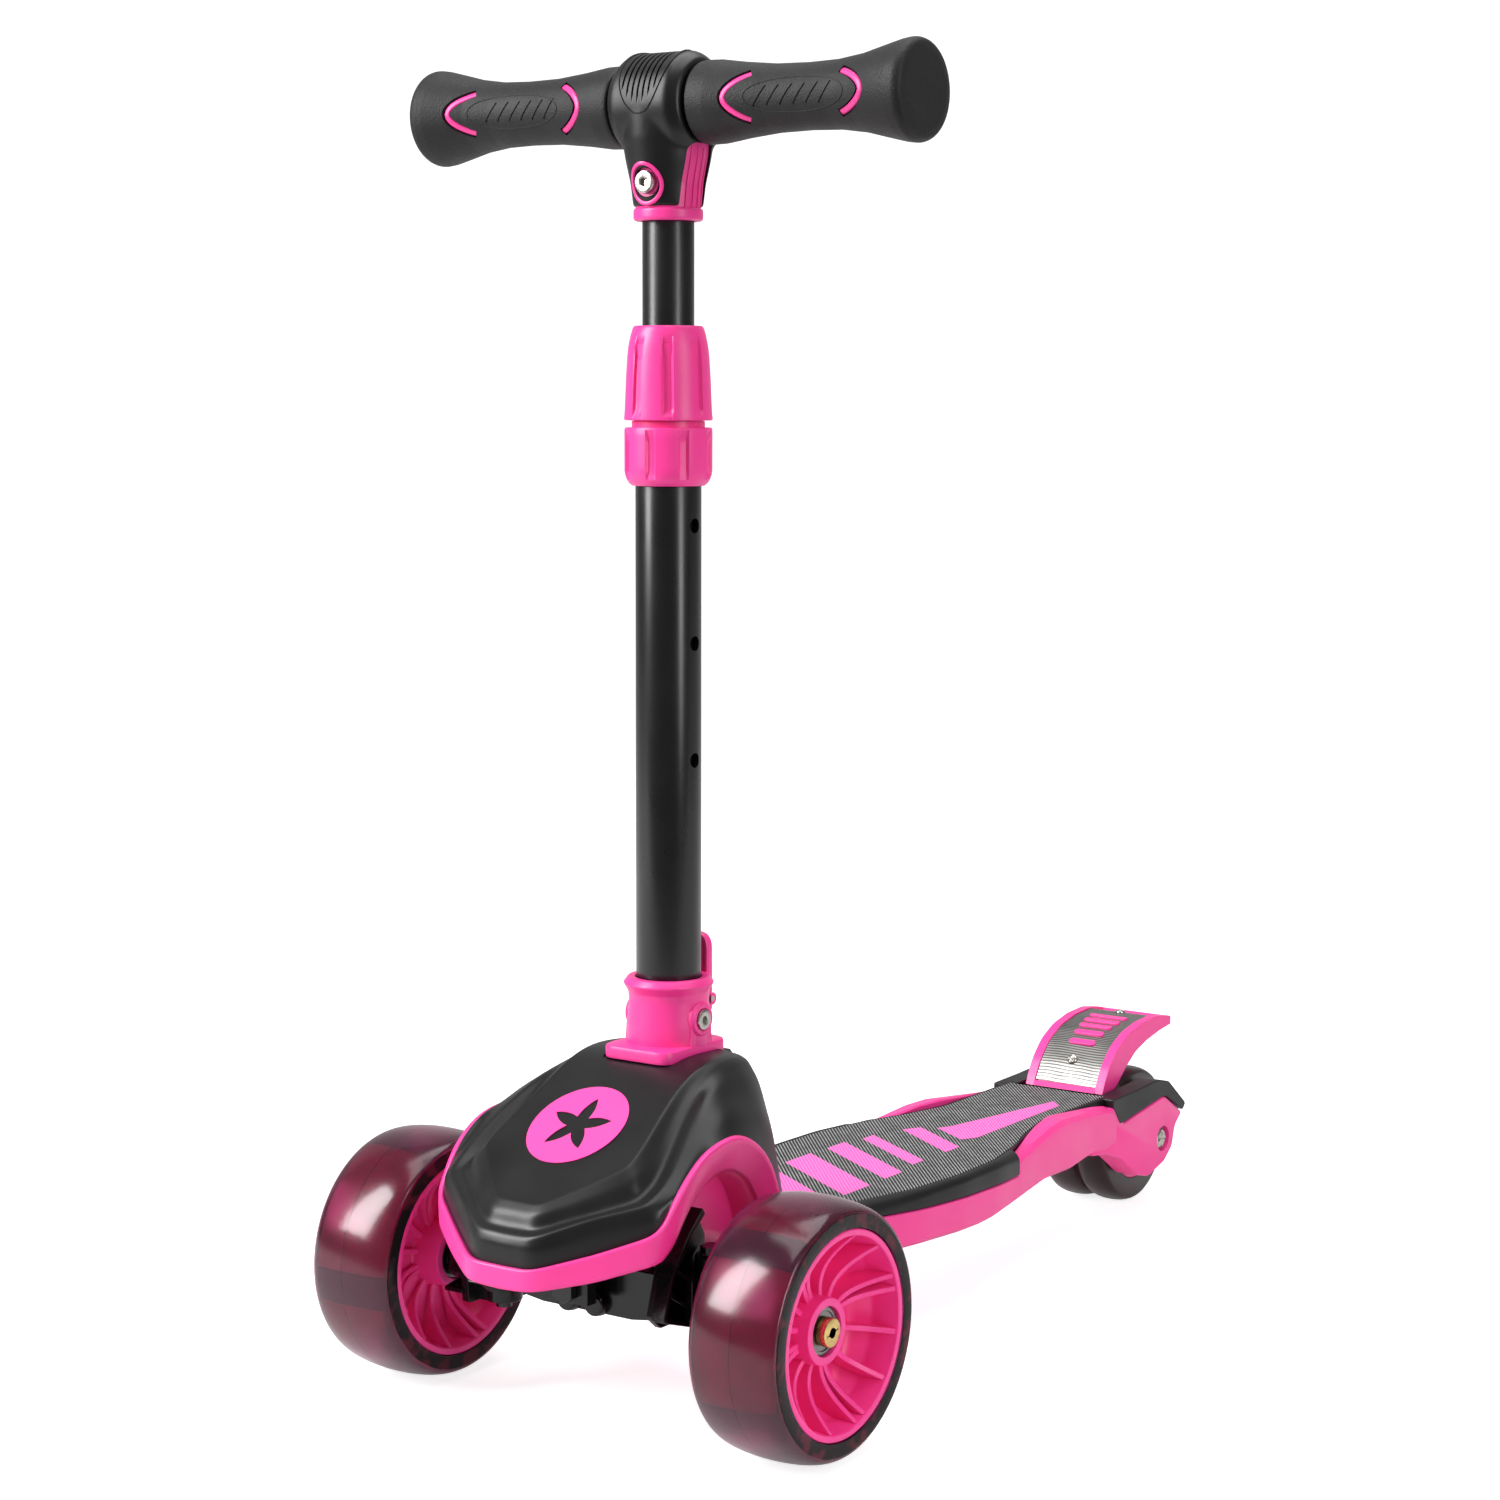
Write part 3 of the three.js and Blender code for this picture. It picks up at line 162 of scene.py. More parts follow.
def lathe(bm, profile, axis="x", at=(0, 0, 0), steps=ROUND, closed=True):
    """A body turned from (radius, place along the axis). A closed profile makes a ring."""
    if axis == "x":
        line = [(h, 0, r) for r, h in profile]
    elif axis == "y":
        line = [(0, h, r) for r, h in profile]
    else:
        line = [(r, 0, h) for r, h in profile]
    verts, edges = wire(bm, line, closed)
    before = set(bm.verts) - set(verts)
    bmesh.ops.spin(
        bm, geom=verts + edges, cent=(0, 0, 0), axis=ALONG[axis], angle=TURN, steps=steps, use_merge=True
    )
    made = [v for v in bm.verts if v not in before]
    bmesh.ops.remove_doubles(bm, verts=made, dist=1e-4)
    made = [v for v in bm.verts if v not in before]
    bmesh.ops.translate(bm, verts=made, vec=at)
    return made


def rod(bm, radius, start, end, axis="x", at=(0, 0, 0), steps=ROUND):
    return lathe(bm, [(0, start), (radius, start), (radius, end), (0, end)], axis, at, steps, closed=False)


def loft(bm, loops, caps=True):
    """A skin through closed loops of points, one after another."""
    rings = [wire(bm, loop) for loop in loops]
    bridged(bm, rings)
    if caps:
        for verts, _ in (rings[0], rings[-1]):
            bm.faces.new(verts)
    return [v for verts, _ in rings for v in verts]


def oval(rx, ry, count=48):
    return [(rx * math.cos(TURN * i / count), ry * math.sin(TURN * i / count)) for i in range(count)]


def value_at(line, at):
    """Reads a line of (place, value) points at a place."""
    for (a, low), (b, high) in zip(line, line[1:]):
        if at <= b:
            return low + (high - low) * min(max((at - a) / max(b - a, 1e-6), 0), 1)
    return line[-1][1]


def eased(points, radius):
    """An open line with its corners rounded."""
    return [tuple(p) for p in fillet(points, radius, 6, closed=False)]


def section_loft(bm, stations):
    """A skin over half sections of (x, z) at places along Y, mirrored into whole loops."""
    loops = []
    for y, half in stations:
        whole = [(x, y, z) for x, z in half]
        whole += [(-x, y, z) for x, z in reversed(half) if abs(x) > 1e-6]
        loops.append(whole)
    return loft(bm, loops)


def strip_along(bm, path, outs, width, height, closed=False, corners=12):
    """A bar with a rounded section laid along a path, its height standing along the outward vectors."""
    rings = []
    count = len(path)
    for i in range(count):
        if closed:
            back, ahead = path[i - 1], path[(i + 1) % count]
        else:
            back, ahead = path[max(i - 1, 0)], path[min(i + 1, count - 1)]
        out = Vector(outs[i]).normalized()
        side = (Vector(ahead) - Vector(back)).cross(out).normalized()
        ring = []
        for k in range(corners):
            a = TURN * (k + 0.5) / corners
            u, v = math.cos(a), math.sin(a)
            ring.append(
                Vector(path[i])
                + side * (width / 2 * math.copysign(abs(u) ** 0.6, u))
                + out * (height / 2 * math.copysign(abs(v) ** 0.6, v))
            )
        rings.append(ring)
    if not closed:
        return loft(bm, rings)
    lines = [wire(bm, ring) for ring in rings]
    bridged(bm, lines, closed=True)
    return [v for verts, _ in lines for v in verts]


def fluted(bm, profile, count, turn, depth, width, low, high, at):
    """A turned sleeve about Z whose outer wall has rounded grooves from low to high."""
    steps = 240
    loops = []
    for r, z, outer in profile:
        loop = []
        for i in range(steps):
            a = TURN * i / steps
            off = abs(((a - turn) / TURN * count + 0.5) % 1 - 0.5) * TURN / count * r
            reach = min(max((z - low) / 2.5, 0), 1) * min(max((high - z) / 2.5, 0), 1)
            fall = min(max((width / 2 - off) / 0.8, 0), 1)
            cut = depth * reach * fall * fall * (3 - 2 * fall) if outer else 0
            loop.append((at[0] + (r - cut) * math.cos(a), at[1] + (r - cut) * math.sin(a), z))
        loops.append(loop)
    rings = [wire(bm, loop) for loop in loops]
    bridged(bm, rings, closed=True)


def moved(bm, verts, matrix):
    bmesh.ops.transform(bm, matrix=matrix, verts=verts)


def to_side(bm, sign):
    """Mirrors a shape made for the left side, where it is for the right."""
    if sign < 0:
        bmesh.ops.scale(bm, vec=(-1, 1, 1), verts=bm.verts)
        bmesh.ops.reverse_faces(bm, faces=bm.faces)


def piece(
    name, bm, body, material, replaces=(), crease=38, bevel=0, bevel_steps=2, rounding=0, wall=0
):
    """A finished object from a bmesh in millimetres, riding on its body."""
    bmesh.ops.recalc_face_normals(bm, faces=bm.faces)
    bm.transform(TO_FRAME)
    for face in bm.faces:
        face.smooth = True
    for edge in bm.edges:
        angle = edge.calc_face_angle(None)
        edge.smooth = bool(bevel or rounding) or angle is None or angle < math.radians(crease)
    mesh = bpy.data.meshes.new(name)
    bm.to_mesh(mesh)
    bm.free()
    mesh.materials.append(material)
    made = bpy.data.objects.new(name, mesh)
    bpy.context.scene.collection.objects.link(made)
    if rounding:
        smoother = made.modifiers.new("Subdivision", "SUBSURF")
        smoother.levels = rounding
        smoother.render_levels = rounding
    if wall:
        sheet = made.modifiers.new("Wall", "SOLIDIFY")
        sheet.thickness = wall * MM
        sheet.offset = -1
    if bevel:
        edges = made.modifiers.new("Bevel", "BEVEL")
        edges.width = bevel * MM
        edges.segments = bevel_steps
        edges.limit_method = "ANGLE"
        edges.angle_limit = math.radians(crease)
        edges.harden_normals = True
    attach(made, body)
    if replaces:
        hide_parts(*([replaces] if isinstance(replaces, str) else replaces))
    return made


def carved(target, bm, solver="EXACT"):
    """Cuts a closed bmesh, in millimetres, out of a piece."""
    bmesh.ops.recalc_face_normals(bm, faces=bm.faces)
    bm.transform(TO_FRAME)
    mesh = bpy.data.meshes.new("cutter")
    bm.to_mesh(mesh)
    bm.free()
    cutter = bpy.data.objects.new("cutter", mesh)
    bpy.context.scene.collection.objects.link(cutter)
    cut = target.modifiers.new("Cut", "BOOLEAN")
    cut.object = cutter
    cut.operation = "DIFFERENCE"
    cut.solver = solver
    bpy.context.view_layer.objects.active = target
    for name in [m.name for m in target.modifiers]:
        with bpy.context.temp_override(object=target, active_object=target):
            bpy.ops.object.modifier_apply(modifier=name)
    bpy.data.objects.remove(cutter)
    bpy.data.meshes.remove(mesh)
    return target


def sharpened(target, crease=35):
    """Marks the edges that a cut left, so that the faces beside them shade apart."""
    bm = bmesh.new()
    bm.from_mesh(target.data)
    bmesh.ops.dissolve_degenerate(bm, edges=bm.edges, dist=1e-7)
    for face in bm.faces:
        face.smooth = True
    for edge in bm.edges:
        angle = edge.calc_face_angle(None)
        edge.smooth = angle is None or angle < math.radians(crease)
    bm.to_mesh(target.data)
    bm.free()
    return target


# ---------- materials ----------
class Finish:
    """A node material whose colour, gloss and relief vary over the surface."""

    def __init__(self, name, colour, roughness, metallic=0.0):
        self.material = bpy.data.materials.new(name)
        self.material.use_nodes = True
        self.nodes = self.material.node_tree.nodes
        self.links = self.material.node_tree.links
        self.shader = self.nodes["Principled BSDF"]
        self.colour = colour
        self.roughness = roughness
        self.shader.inputs["Base Color"].default_value = (*colour, 1)
        self.shader.inputs["Roughness"].default_value = roughness
        self.shader.inputs["Metallic"].default_value = metallic
        self.coordinates = self.nodes.new("ShaderNodeTexCoord").outputs["Object"]
        self.height = None

    def turned(self, rotation):
        """The piece's coordinates, turned."""
        node = self.nodes.new("ShaderNodeMapping")
        node.inputs["Rotation"].default_value = rotation
        self.links.new(self.coordinates, node.inputs["Vector"])
        return node.outputs["Vector"]

    def noise(self, size_mm, detail=3.0):
        node = self.nodes.new("ShaderNodeTexNoise")
        node.inputs["Scale"].default_value = 1 / (size_mm * MM)
        node.inputs["Detail"].default_value = detail
        self.links.new(self.coordinates, node.inputs["Vector"])
        return node.outputs["Fac"]

    def spread(self, value, low, high, start=0.3, end=0.7):
        node = self.nodes.new("ShaderNodeMapRange")
        node.inputs["From Min"].default_value = start
        node.inputs["From Max"].default_value = end
        node.inputs["To Min"].default_value = low
        node.inputs["To Max"].default_value = high
        self.links.new(value, node.inputs["Value"])
        return node.outputs["Result"]

    def blend(self, factor, a, b):
        node = self.nodes.new("ShaderNodeMix")
        node.data_type = "RGBA"
        self.links.new(factor, node.inputs[0])
        for socket, value in ((node.inputs[6], a), (node.inputs[7], b)):
            if isinstance(value, tuple):
                socket.default_value = (*value, 1)
            else:
                self.links.new(value, socket)
        return node.outputs[2]

    def mottle(self, size_mm, amount):
        """Slow variation of the colour."""
        dark = tuple(c * (1 - amount) for c in self.colour)
        light = tuple(min(c * (1 + amount), 1) for c in self.colour)
        fac = self.spread(self.noise(size_mm), 0, 1)
        self.links.new(self.blend(fac, dark, light), self.shader.inputs["Base Color"])
        return self

    def handled(self, size_mm, amount):
        """Slow variation of the gloss."""
        value = self.spread(self.noise(size_mm, 4), self.roughness - amount, self.roughness + amount)
        self.links.new(value, self.shader.inputs["Roughness"])
        return self

    def relief(self, value, depth_mm):
        """Adds a bump from a height value."""
        node = self.nodes.new("ShaderNodeBump")
        node.inputs["Distance"].default_value = depth_mm * MM
        self.links.new(value, node.inputs["Height"])
        if self.height:
            self.links.new(self.height, node.inputs["Normal"])
        self.height = node.outputs["Normal"]
        self.links.new(self.height, self.shader.inputs["Normal"])
        return self

    def grain(self, size_mm, depth_mm, detail=2.0):
        return self.relief(self.noise(size_mm, detail), depth_mm)

    def set(self, **values):
        for name, value in values.items():
            self.shader.inputs[name.replace("_", " ")].default_value = value
        return self


def pink_plastic(name, colour=(0.95, 0.045, 0.31), roughness=0.4):
    finish = Finish(name, colour, roughness)
    finish.mottle(40, 0.03).handled(25, 0.05).grain(0.5, 0.006).grain(9, 0.02)
    return finish.set(Coat_Weight=0.12, Coat_Roughness=0.3, Specular_IOR_Level=0.45).material


def black_plastic(name, tone=0.006, roughness=0.38, grain=0.45):
    finish = Finish(name, (tone, tone * 0.97, tone * 1.04), roughness)
    finish.mottle(30, 0.12).handled(35, 0.06).grain(grain, 0.012).grain(14, 0.02)
    return finish.set(Specular_IOR_Level=0.38).material


def handle_rubber():
    finish = Finish("handle_rubber", (0.008, 0.008, 0.009), 0.56)
    finish.mottle(12, 0.12).handled(18, 0.05)
    cells = finish.nodes.new("ShaderNodeTexVoronoi")
    cells.inputs["Scale"].default_value = 1 / (0.9 * MM)
    finish.links.new(finish.coordinates, cells.inputs["Vector"])
    finish.relief(cells.outputs["Distance"], 0.12).grain(0.5, 0.05)
    return finish.set(Specular_IOR_Level=0.34, Sheen_Weight=0.02).material


MAT_TURN = math.radians(-42)
MAT_PITCH = 1.75


def pinstripes(finish):
    """Fine bands that run slantwise across the deck."""
    stripes = finish.nodes.new("ShaderNodeTexWave")
    stripes.inputs["Scale"].default_value = TURN / (20 * MAT_PITCH * MM)
    finish.links.new(finish.turned((0, 0, MAT_TURN)), stripes.inputs["Vector"])
    return stripes.outputs["Fac"]


def grip_mat():
    """Black rubber with fine slanted ribs across the deck, and painted highlights: pale lines along the rib
    crests.
    """
    finish = Finish("grip_mat", (0.009, 0.009, 0.0095), 0.6)
    stripes = pinstripes(finish)
    # Painted highlight: pale grey on the crests of the ribs, whose relief comes from the same stripes.
    line = finish.spread(stripes, 0, 1, 0.55, 0.78)
    pale = finish.blend(finish.spread(finish.noise(6), 0, 1), (0.22, 0.22, 0.22), (0.38, 0.38, 0.38))
    finish.links.new(finish.blend(line, finish.colour, pale), finish.shader.inputs["Base Color"])
    finish.relief(stripes, 0.12).grain(0.6, 0.03)
    return finish.set(Specular_IOR_Level=0.25).material


def deck_print():
    """Pink print on the mat, with the mat's fine ribs showing through as relief and as painted shade: the
    pink is lighter on the rib crests and darker in the grooves.
    """
    finish = Finish("deck_print", (0.95, 0.13, 0.52), 0.5)
    ribs = pinstripes(finish)
    # Painted shade across the ribs: lighter pink on their crests, darker pink in their grooves.
    rib_shaded_pink = finish.blend(finish.spread(ribs, 0, 1, 0.2, 0.8), (0.86, 0.09, 0.44), (0.97, 0.2, 0.6))
    finish.links.new(rib_shaded_pink, finish.shader.inputs["Base Color"])
    return finish.relief(ribs, 0.12).grain(0.6, 0.02).material


def smoke_tyre(name, tint, roughness=0.07):
    finish = Finish(name, tint, roughness)
    finish.mottle(14, 0.1)
    return finish.set(Transmission_Weight=0.93, IOR=1.38, Coat_Weight=0.3, Coat_Roughness=0.22).material


def tyre_side():
    """The flat sidewall, near black with dull red patches."""
    finish = Finish("tyre_side", (0.02, 0.012, 0.014), 0.2)
    patches = finish.spread(finish.noise(9, 1), 0, 1, 0.5, 0.62)
    tone = finish.blend(patches, (0.014, 0.011, 0.012), (0.085, 0.014, 0.025))
    finish.links.new(tone, finish.shader.inputs["Base Color"])
    return finish.grain(6, 0.02).set(Specular_IOR_Level=0.12, Coat_Weight=0.05, Coat_Roughness=0.1).material


def tyre_core():
    finish = Finish("tyre_core", (0.8, 0.04, 0.22), 0.35)
    return finish.mottle(16, 0.25).handled(10, 0.1).set(Coat_Weight=0.3).material


def black_metal(name, roughness, grain_mm, grain_depth):
    finish = Finish(name, (0.004, 0.004, 0.0045), roughness)
    finish.mottle(20, 0.15).handled(40, 0.04).grain(grain_mm, grain_depth)
    return finish.set(Coat_Weight=0.2, Coat_Roughness=0.2, Specular_IOR_Level=0.4).material


def metal(name, colour, roughness, grain_mm=1.2):
    finish = Finish(name, colour, roughness, 1.0)
    return finish.mottle(3, 0.06).handled(2, 0.06).grain(grain_mm, 0.012).material


def swirled_steel():
    """A plate ground in small overlapping swirls."""
    finish = Finish("swirled_steel", (0.62, 0.61, 0.6), 0.3, 1.0)
    bent = finish.noise(16, 2)
    rings = finish.nodes.new("ShaderNodeTexWave")
    rings.wave_type = "RINGS"
    rings.inputs["Scale"].default_value = TURN / (20 * 1.6 * MM)
    rings.inputs["Distortion"].default_value = 9
    rings.inputs["Detail"].default_value = 2
    rings.inputs["Detail Scale"].default_value = 0.12
    finish.links.new(finish.coordinates, rings.inputs["Vector"])
    tone = finish.blend(rings.outputs["Fac"], (0.09, 0.088, 0.085), (0.42, 0.41, 0.395))
    finish.links.new(tone, finish.shader.inputs["Base Color"])
    finish.links.new(finish.spread(bent, 0.32, 0.5), finish.shader.inputs["Roughness"])
    return finish.relief(rings.outputs["Fac"], 0.03).material


PINK = pink_plastic("pink_plastic")
BLACK = black_plastic("black_plastic")
BLACK_GLOSS = black_plastic("black_gloss_plastic", tone=0.004, roughness=0.24, grain=0.8)
TRAY = black_plastic("tray_plastic", tone=0.005, roughness=0.42, grain=0.6)
RUBBER = handle_rubber()
MAT = grip_mat()
PRINT = deck_print()
TYRE = smoke_tyre("smoke_tyre", (0.38, 0.06, 0.17), 0.17)
REAR_TYRE = smoke_tyre("rear_smoke_tyre", (0.05, 0.024, 0.026), 0.3)
TYRE_SIDE = tyre_side()
TYRE_CORE = tyre_core()
LOWER_COAT = black_metal("lower_tube_coat", 0.3, 2.5, 0.004)
UPPER_COAT = black_metal("upper_tube_coat", 0.34, 0.7, 0.07)
NICKEL = metal("nickel", (0.5, 0.48, 0.45), 0.3)
STEEL = metal("bearing_steel", (0.24, 0.235, 0.23), 0.32)
GOLD = metal("gold_plate", (0.72, 0.52, 0.2), 0.24)
BROWN = metal("bronzed_washer", (0.2, 0.06, 0.03), 0.35)
SWIRL = swirled_steel()
EMBLEM = pink_plastic("emblem_print", (0.96, 0.07, 0.37), 0.42)


# ---------- small hardware ----------
def hex_point(angle, across):
    """Distance from the middle to a hexagon's side at an angle."""
    turn = (angle + math.pi / 6) % (math.pi / 3) - math.pi / 6
    return across / 2 / math.cos(turn)


def socket_head(bm, radius, height, across, depth, steps=48, crown=0.6):
    """A round bolt head with a hexagon socket, facing +Z with its seat at 0."""
    turns = [TURN * i / steps for i in range(steps)]
    round_loop = lambda r, z: [(r * math.cos(a), r * math.sin(a), z) for a in turns]
    sides = [(hex_point(a, across) * math.cos(a), hex_point(a, across) * math.sin(a)) for a in turns]
    hexagon = lambda z: [(x, y, z) for x, y in sides]
    return loft(
        bm,
        [
            round_loop(radius, 0),
            round_loop(radius, height - crown),
            round_loop(radius - crown * 0.3, height - crown * 0.3),
            round_loop(radius - crown, height),
            round_loop(across / 2 * 1.35, height),
            hexagon(height - 0.25),
            hexagon(height - depth),
        ],
    )


def hex_nut(bm, radius, height=2.6):
    corners = [(radius * math.cos(TURN * i / 6), radius * math.sin(TURN * i / 6)) for i in range(6)]
    return prism(bm, corners, "z", 0, height)


def facing(direction):
    """Turns +Z to a direction."""
    return Vector((0, 0, 1)).rotation_difference(Vector(direction)).to_matrix().to_4x4()


def bearing(bm, start, width=7, outer=11, inner=4.1):
    """A sealed ball bearing: two races with a sunk shield between them."""
    mid = start + width / 2
    half = width / 2
    for r0, r1 in ((outer - 1.9, outer), (inner, inner + 1.9)):
        ring = fillet([(r0, mid - half), (r1, mid - half), (r1, mid + half), (r0, mid + half)], 0.3, 3)
        lathe(bm, ring, steps=64)
    shield = [(inner + 2, mid - half + 0.6), (outer - 2, mid - half + 0.6)]
    shield += [(outer - 2, mid + half - 0.6), (inner + 2, mid + half - 0.6)]
    lathe(bm, shield, steps=64)


# ---------- front wheels ----------
TYRE_R = (high_of("front_tyre_left").z - low_of("front_tyre_left").z) / 2
TYRE_HALF = (high_of("front_tyre_left").x - low_of("front_tyre_left").x) / 2
RIM_R = 47.7
HUB_FACE = 13.2
BOSS_R = 15.3
BAND_TURNS = {"left": math.radians(53), "right": math.radians(82)}


def tyre_shell(radius, half, seat, groove_r, groove_half, shoulder):
    """The tyre's section: a flat sidewall, a rounded shoulder and a bulged tread."""
    crown = []
    for i in range(25):
        t = math.pi * i / 24
        crown.append((shoulder + (radius - shoulder) * math.sin(t) ** 0.9, -half * math.cos(t)))
    return (
        [(seat, groove_half), (groove_r, groove_half), (groove_r, -groove_half), (seat, -groove_half)]
        + [(seat, -half)]
        + crown
        + [(seat, half)]
    )


def at_wheel(sign):
    return Matrix.Translation((sign * WHEEL.x, 0, WHEEL.z))


def front_tyre(side, sign):
    bm = bmesh.new()
    lathe(bm, tyre_shell(TYRE_R, TYRE_HALF - 0.3, RIM_R + 0.4, RIM_R + 6.2, TYRE_HALF - 2.2, 54.6), steps=128)
    moved(bm, bm.verts, at_wheel(sign))
    body = f"front_wheel_{side}"
    piece(f"tyre_{side}", bm, body, TYRE, f"front_tyre_{side}", crease=50)


def sidewall_rings(side, sign):
    bm = bmesh.new()
    for face in (1, -1):
        x0, x1 = TYRE_HALF - 0.25, TYRE_HALF
        ring = fillet([(RIM_R + 0.5, x0), (RIM_R + 0.5, x1), (54.4, x1), (54.9, x0)], 0.15, 2)
        lathe(bm, [(r, face * h) for r, h in ring], steps=128)
    moved(bm, bm.verts, at_wheel(sign))
    piece(f"sidewall_{side}", bm, f"front_wheel_{side}", TYRE_SIDE)


def mould_line(side, sign):
    """The parting line round the middle of the tread."""
    bm = bmesh.new()
    lathe(bm, [(59.4, -0.14), (59.93, -0.05), (59.93, 0.05), (59.4, 0.14)], steps=128)
    moved(bm, bm.verts, Matrix.Translation((sign * WHEEL.x + sign * 1.5, 0, WHEEL.z)))
    piece(f"mould_line_{side}", bm, f"front_wheel_{side}", TYRE_SIDE)


def tyre_drum(side, sign):
    """The coloured core under the clear tread, with its dark light strips across it."""
    bm = bmesh.new()
    core = [(RIM_R + 0.6, -20.8), (RIM_R + 4.4, -20.8), (RIM_R + 4.4, 20.8), (RIM_R + 0.6, 20.8)]
    lathe(bm, core, steps=96)
    moved(bm, bm.verts, at_wheel(sign))
    piece(f"tread_core_{side}", bm, f"front_wheel_{side}", TYRE_CORE, f"light_ring_{side}")
    bm = bmesh.new()
    strip = [(-21.1, RIM_R + 4.5), (21.1, RIM_R + 4.5), (21.1, RIM_R + 5.9), (-21.1, RIM_R + 5.9)]
    for k in range(4):
        loops = []
        for step in range(9):
            turn = BAND_TURNS[side] + k * math.pi / 2 + math.radians(2.1 * (step - 4))
            loops.append([(x, -r * math.cos(turn), r * math.sin(turn)) for x, r in strip])
        loft(bm, loops)
    moved(bm, bm.verts, at_wheel(sign))
    piece(f"light_strips_{side}", bm, f"front_wheel_{side}", BLACK_GLOSS)


SPOKE_GROUP = (-4.5, 4.5, 31, 59)  # degrees, four times a turn
SPOKE_START = 199
SPOKE_HALF = 1.35
SPOKE_END = 45.4


def front_hub(side, sign):
    bm = bmesh.new()
    section = [
        (RIM_R, -23.1, 0.5), (RIM_R, 23.1, 0.8), (44.6, 23.1, 0.9), (43.6, 9, 6), (38, -0.5, 8),
        (BOSS_R + 1, -2, 2), (BOSS_R, HUB_FACE, 0.7), (11.4, HUB_FACE, 0.4), (11.4, HUB_FACE - 9, 0),
        (8, HUB_FACE - 9, 0), (8, -11.6, 0), (11.4, -11.6, 0), (11.4, -20, 0.4), (BOSS_R, -20, 0.7),
        (BOSS_R + 1, -5, 2),
        (38, -4, 8), (43.6, -12, 6), (44.6, -23.1, 0.9),
    ]
    lathe(bm, fillet(section, 1), steps=ROUND)
    for face, first, rise in ((1, -1.5, 1), (-1, 5.5, 1.06)):
        # The ribs' free edge sinks from the boss and climbs to the rim's lip.
        edge = []
        for i in range(11):
            t = i / 10
            height = 8 + 14.1 * t**1.7 - 3.4 * math.sin(math.pi * t)
            edge.append((BOSS_R - 1 + t * (SPOKE_END - BOSS_R), height * rise))
        outline = [(r, face * h) for r, h in [(edge[0][0], first), *edge, (edge[-1][0], first)]]
        for group in range(4):
            for offset in SPOKE_GROUP:
                verts = prism(bm, [(h, r) for r, h in outline], "y", -SPOKE_HALF, SPOKE_HALF)
                turn = math.radians(SPOKE_START + group * 90 + face * offset)
                moved(bm, verts, Matrix.Rotation(turn - math.pi / 2, 4, "X"))
    to_side(bm, sign)
    moved(bm, bm.verts, at_wheel(sign))
    body, node = f"front_wheel_{side}", f"front_hub_{side}"
    piece(f"hub_{side}", bm, body, PINK, node, bevel=0.55, crease=40)


def wheel_hardware(side, sign):
    bm = bmesh.new()
    bearing(bm, HUB_FACE - 8.7)
    bearing(bm, -19)
    to_side(bm, sign)
    moved(bm, bm.verts, at_wheel(sign))
    nodes = [f"front_outer_bearing_{side}", f"front_inner_bearing_{side}"]
    piece(f"bearings_{side}", bm, f"front_wheel_{side}", STEEL, nodes)
    bolt = middle_of(f"front_axle_bolt_{side}")
    seat = WHEEL.x + HUB_FACE - 1.4
    bm = bmesh.new()
    head = socket_head(bm, 6.7, 4.4, 3.6, 1.5)
    moved(bm, head, Matrix.Translation((seat, 0, WHEEL.z)) @ facing((1, 0, 0)))
    rod(bm, 3.9, 73, seat - 0.1, at=(0, 0, WHEEL.z), steps=32)
    to_side(bm, sign)
    piece(f"axle_bolt_{side}", bm, f"knuckle_{side}", GOLD, f"front_axle_bolt_{side}")
    bm = bmesh.new()
    washer = fillet([(4.1, seat - 0.1), (6.2, seat - 0.1), (6.2, seat - 0.9), (4.1, seat - 0.9)], 0.2, 2)
    lathe(bm, washer, at=(0, 0, bolt.z), steps=48)
    to_side(bm, sign)
    piece(f"axle_washer_{side}", bm, f"knuckle_{side}", BROWN)


for side, sign in SIDES:
    front_tyre(side, sign)
    sidewall_rings(side, sign)
    tyre_drum(side, sign)
    mould_line(side, sign)
    front_hub(side, sign)
    wheel_hardware(side, sign)


# ---------- rear wheels ----------
def rear_wheel(side, sign):
    at = Matrix.Translation((sign * REAR.x, REAR.y, REAR.z))
    body = f"rear_wheel_{side}"
    bm = bmesh.new()
    crown = []
    for i in range(17):
        t = math.pi * i / 16
        crown.append((36.4 + 3.6 * math.sin(t) ** 0.8, -9.9 * math.cos(t)))
    lathe(bm, [(26, -9.9)] + crown + [(26, 9.9)], steps=ROUND)
    moved(bm, bm.verts, at)
    piece(f"rear_tyre_skin_{side}", bm, body, REAR_TYRE, f"rear_tyre_{side}", crease=50)
    bm = bmesh.new()
    section = [
        (25.7, -9.9, 0.4), (25.7, 9.9, 0.4), (23, 9.9, 0.6), (22, 3.2, 2), (16, 2.6, 2), (15, 9.9, 0.6),
        (11.2, 9.9, 0.3), (11.2, -9.9, 0.3), (15, -9.9, 0.6), (16, -2.6, 2), (22, -3.2, 2), (23, -9.9, 0.6),
    ]
    lathe(bm, fillet(section, 1, 3), steps=64)
    for k in range(10):
        for face in (1, -1):
            verts = block(bm, (2, -1, 14.5), (8.4, 1, 23.4))
            bmesh.ops.scale(bm, verts=verts, vec=(face, 1, 1))
            moved(bm, verts, Matrix.Rotation(TURN * k / 10, 4, "X"))
    moved(bm, bm.verts, at)
    piece(f"rear_rim_{side}", bm, body, PINK, f"rear_hub_{side}")
    bm = bmesh.new()
    bearing(bm, -3.5)
    moved(bm, bm.verts, at)
    piece(f"rear_bearing_rings_{side}", bm, body, STEEL, f"rear_bearing_{side}")


for side, sign in SIDES:
    rear_wheel(side, sign)


# ---------- leaning truck ----------
KINGPIN_X = 62


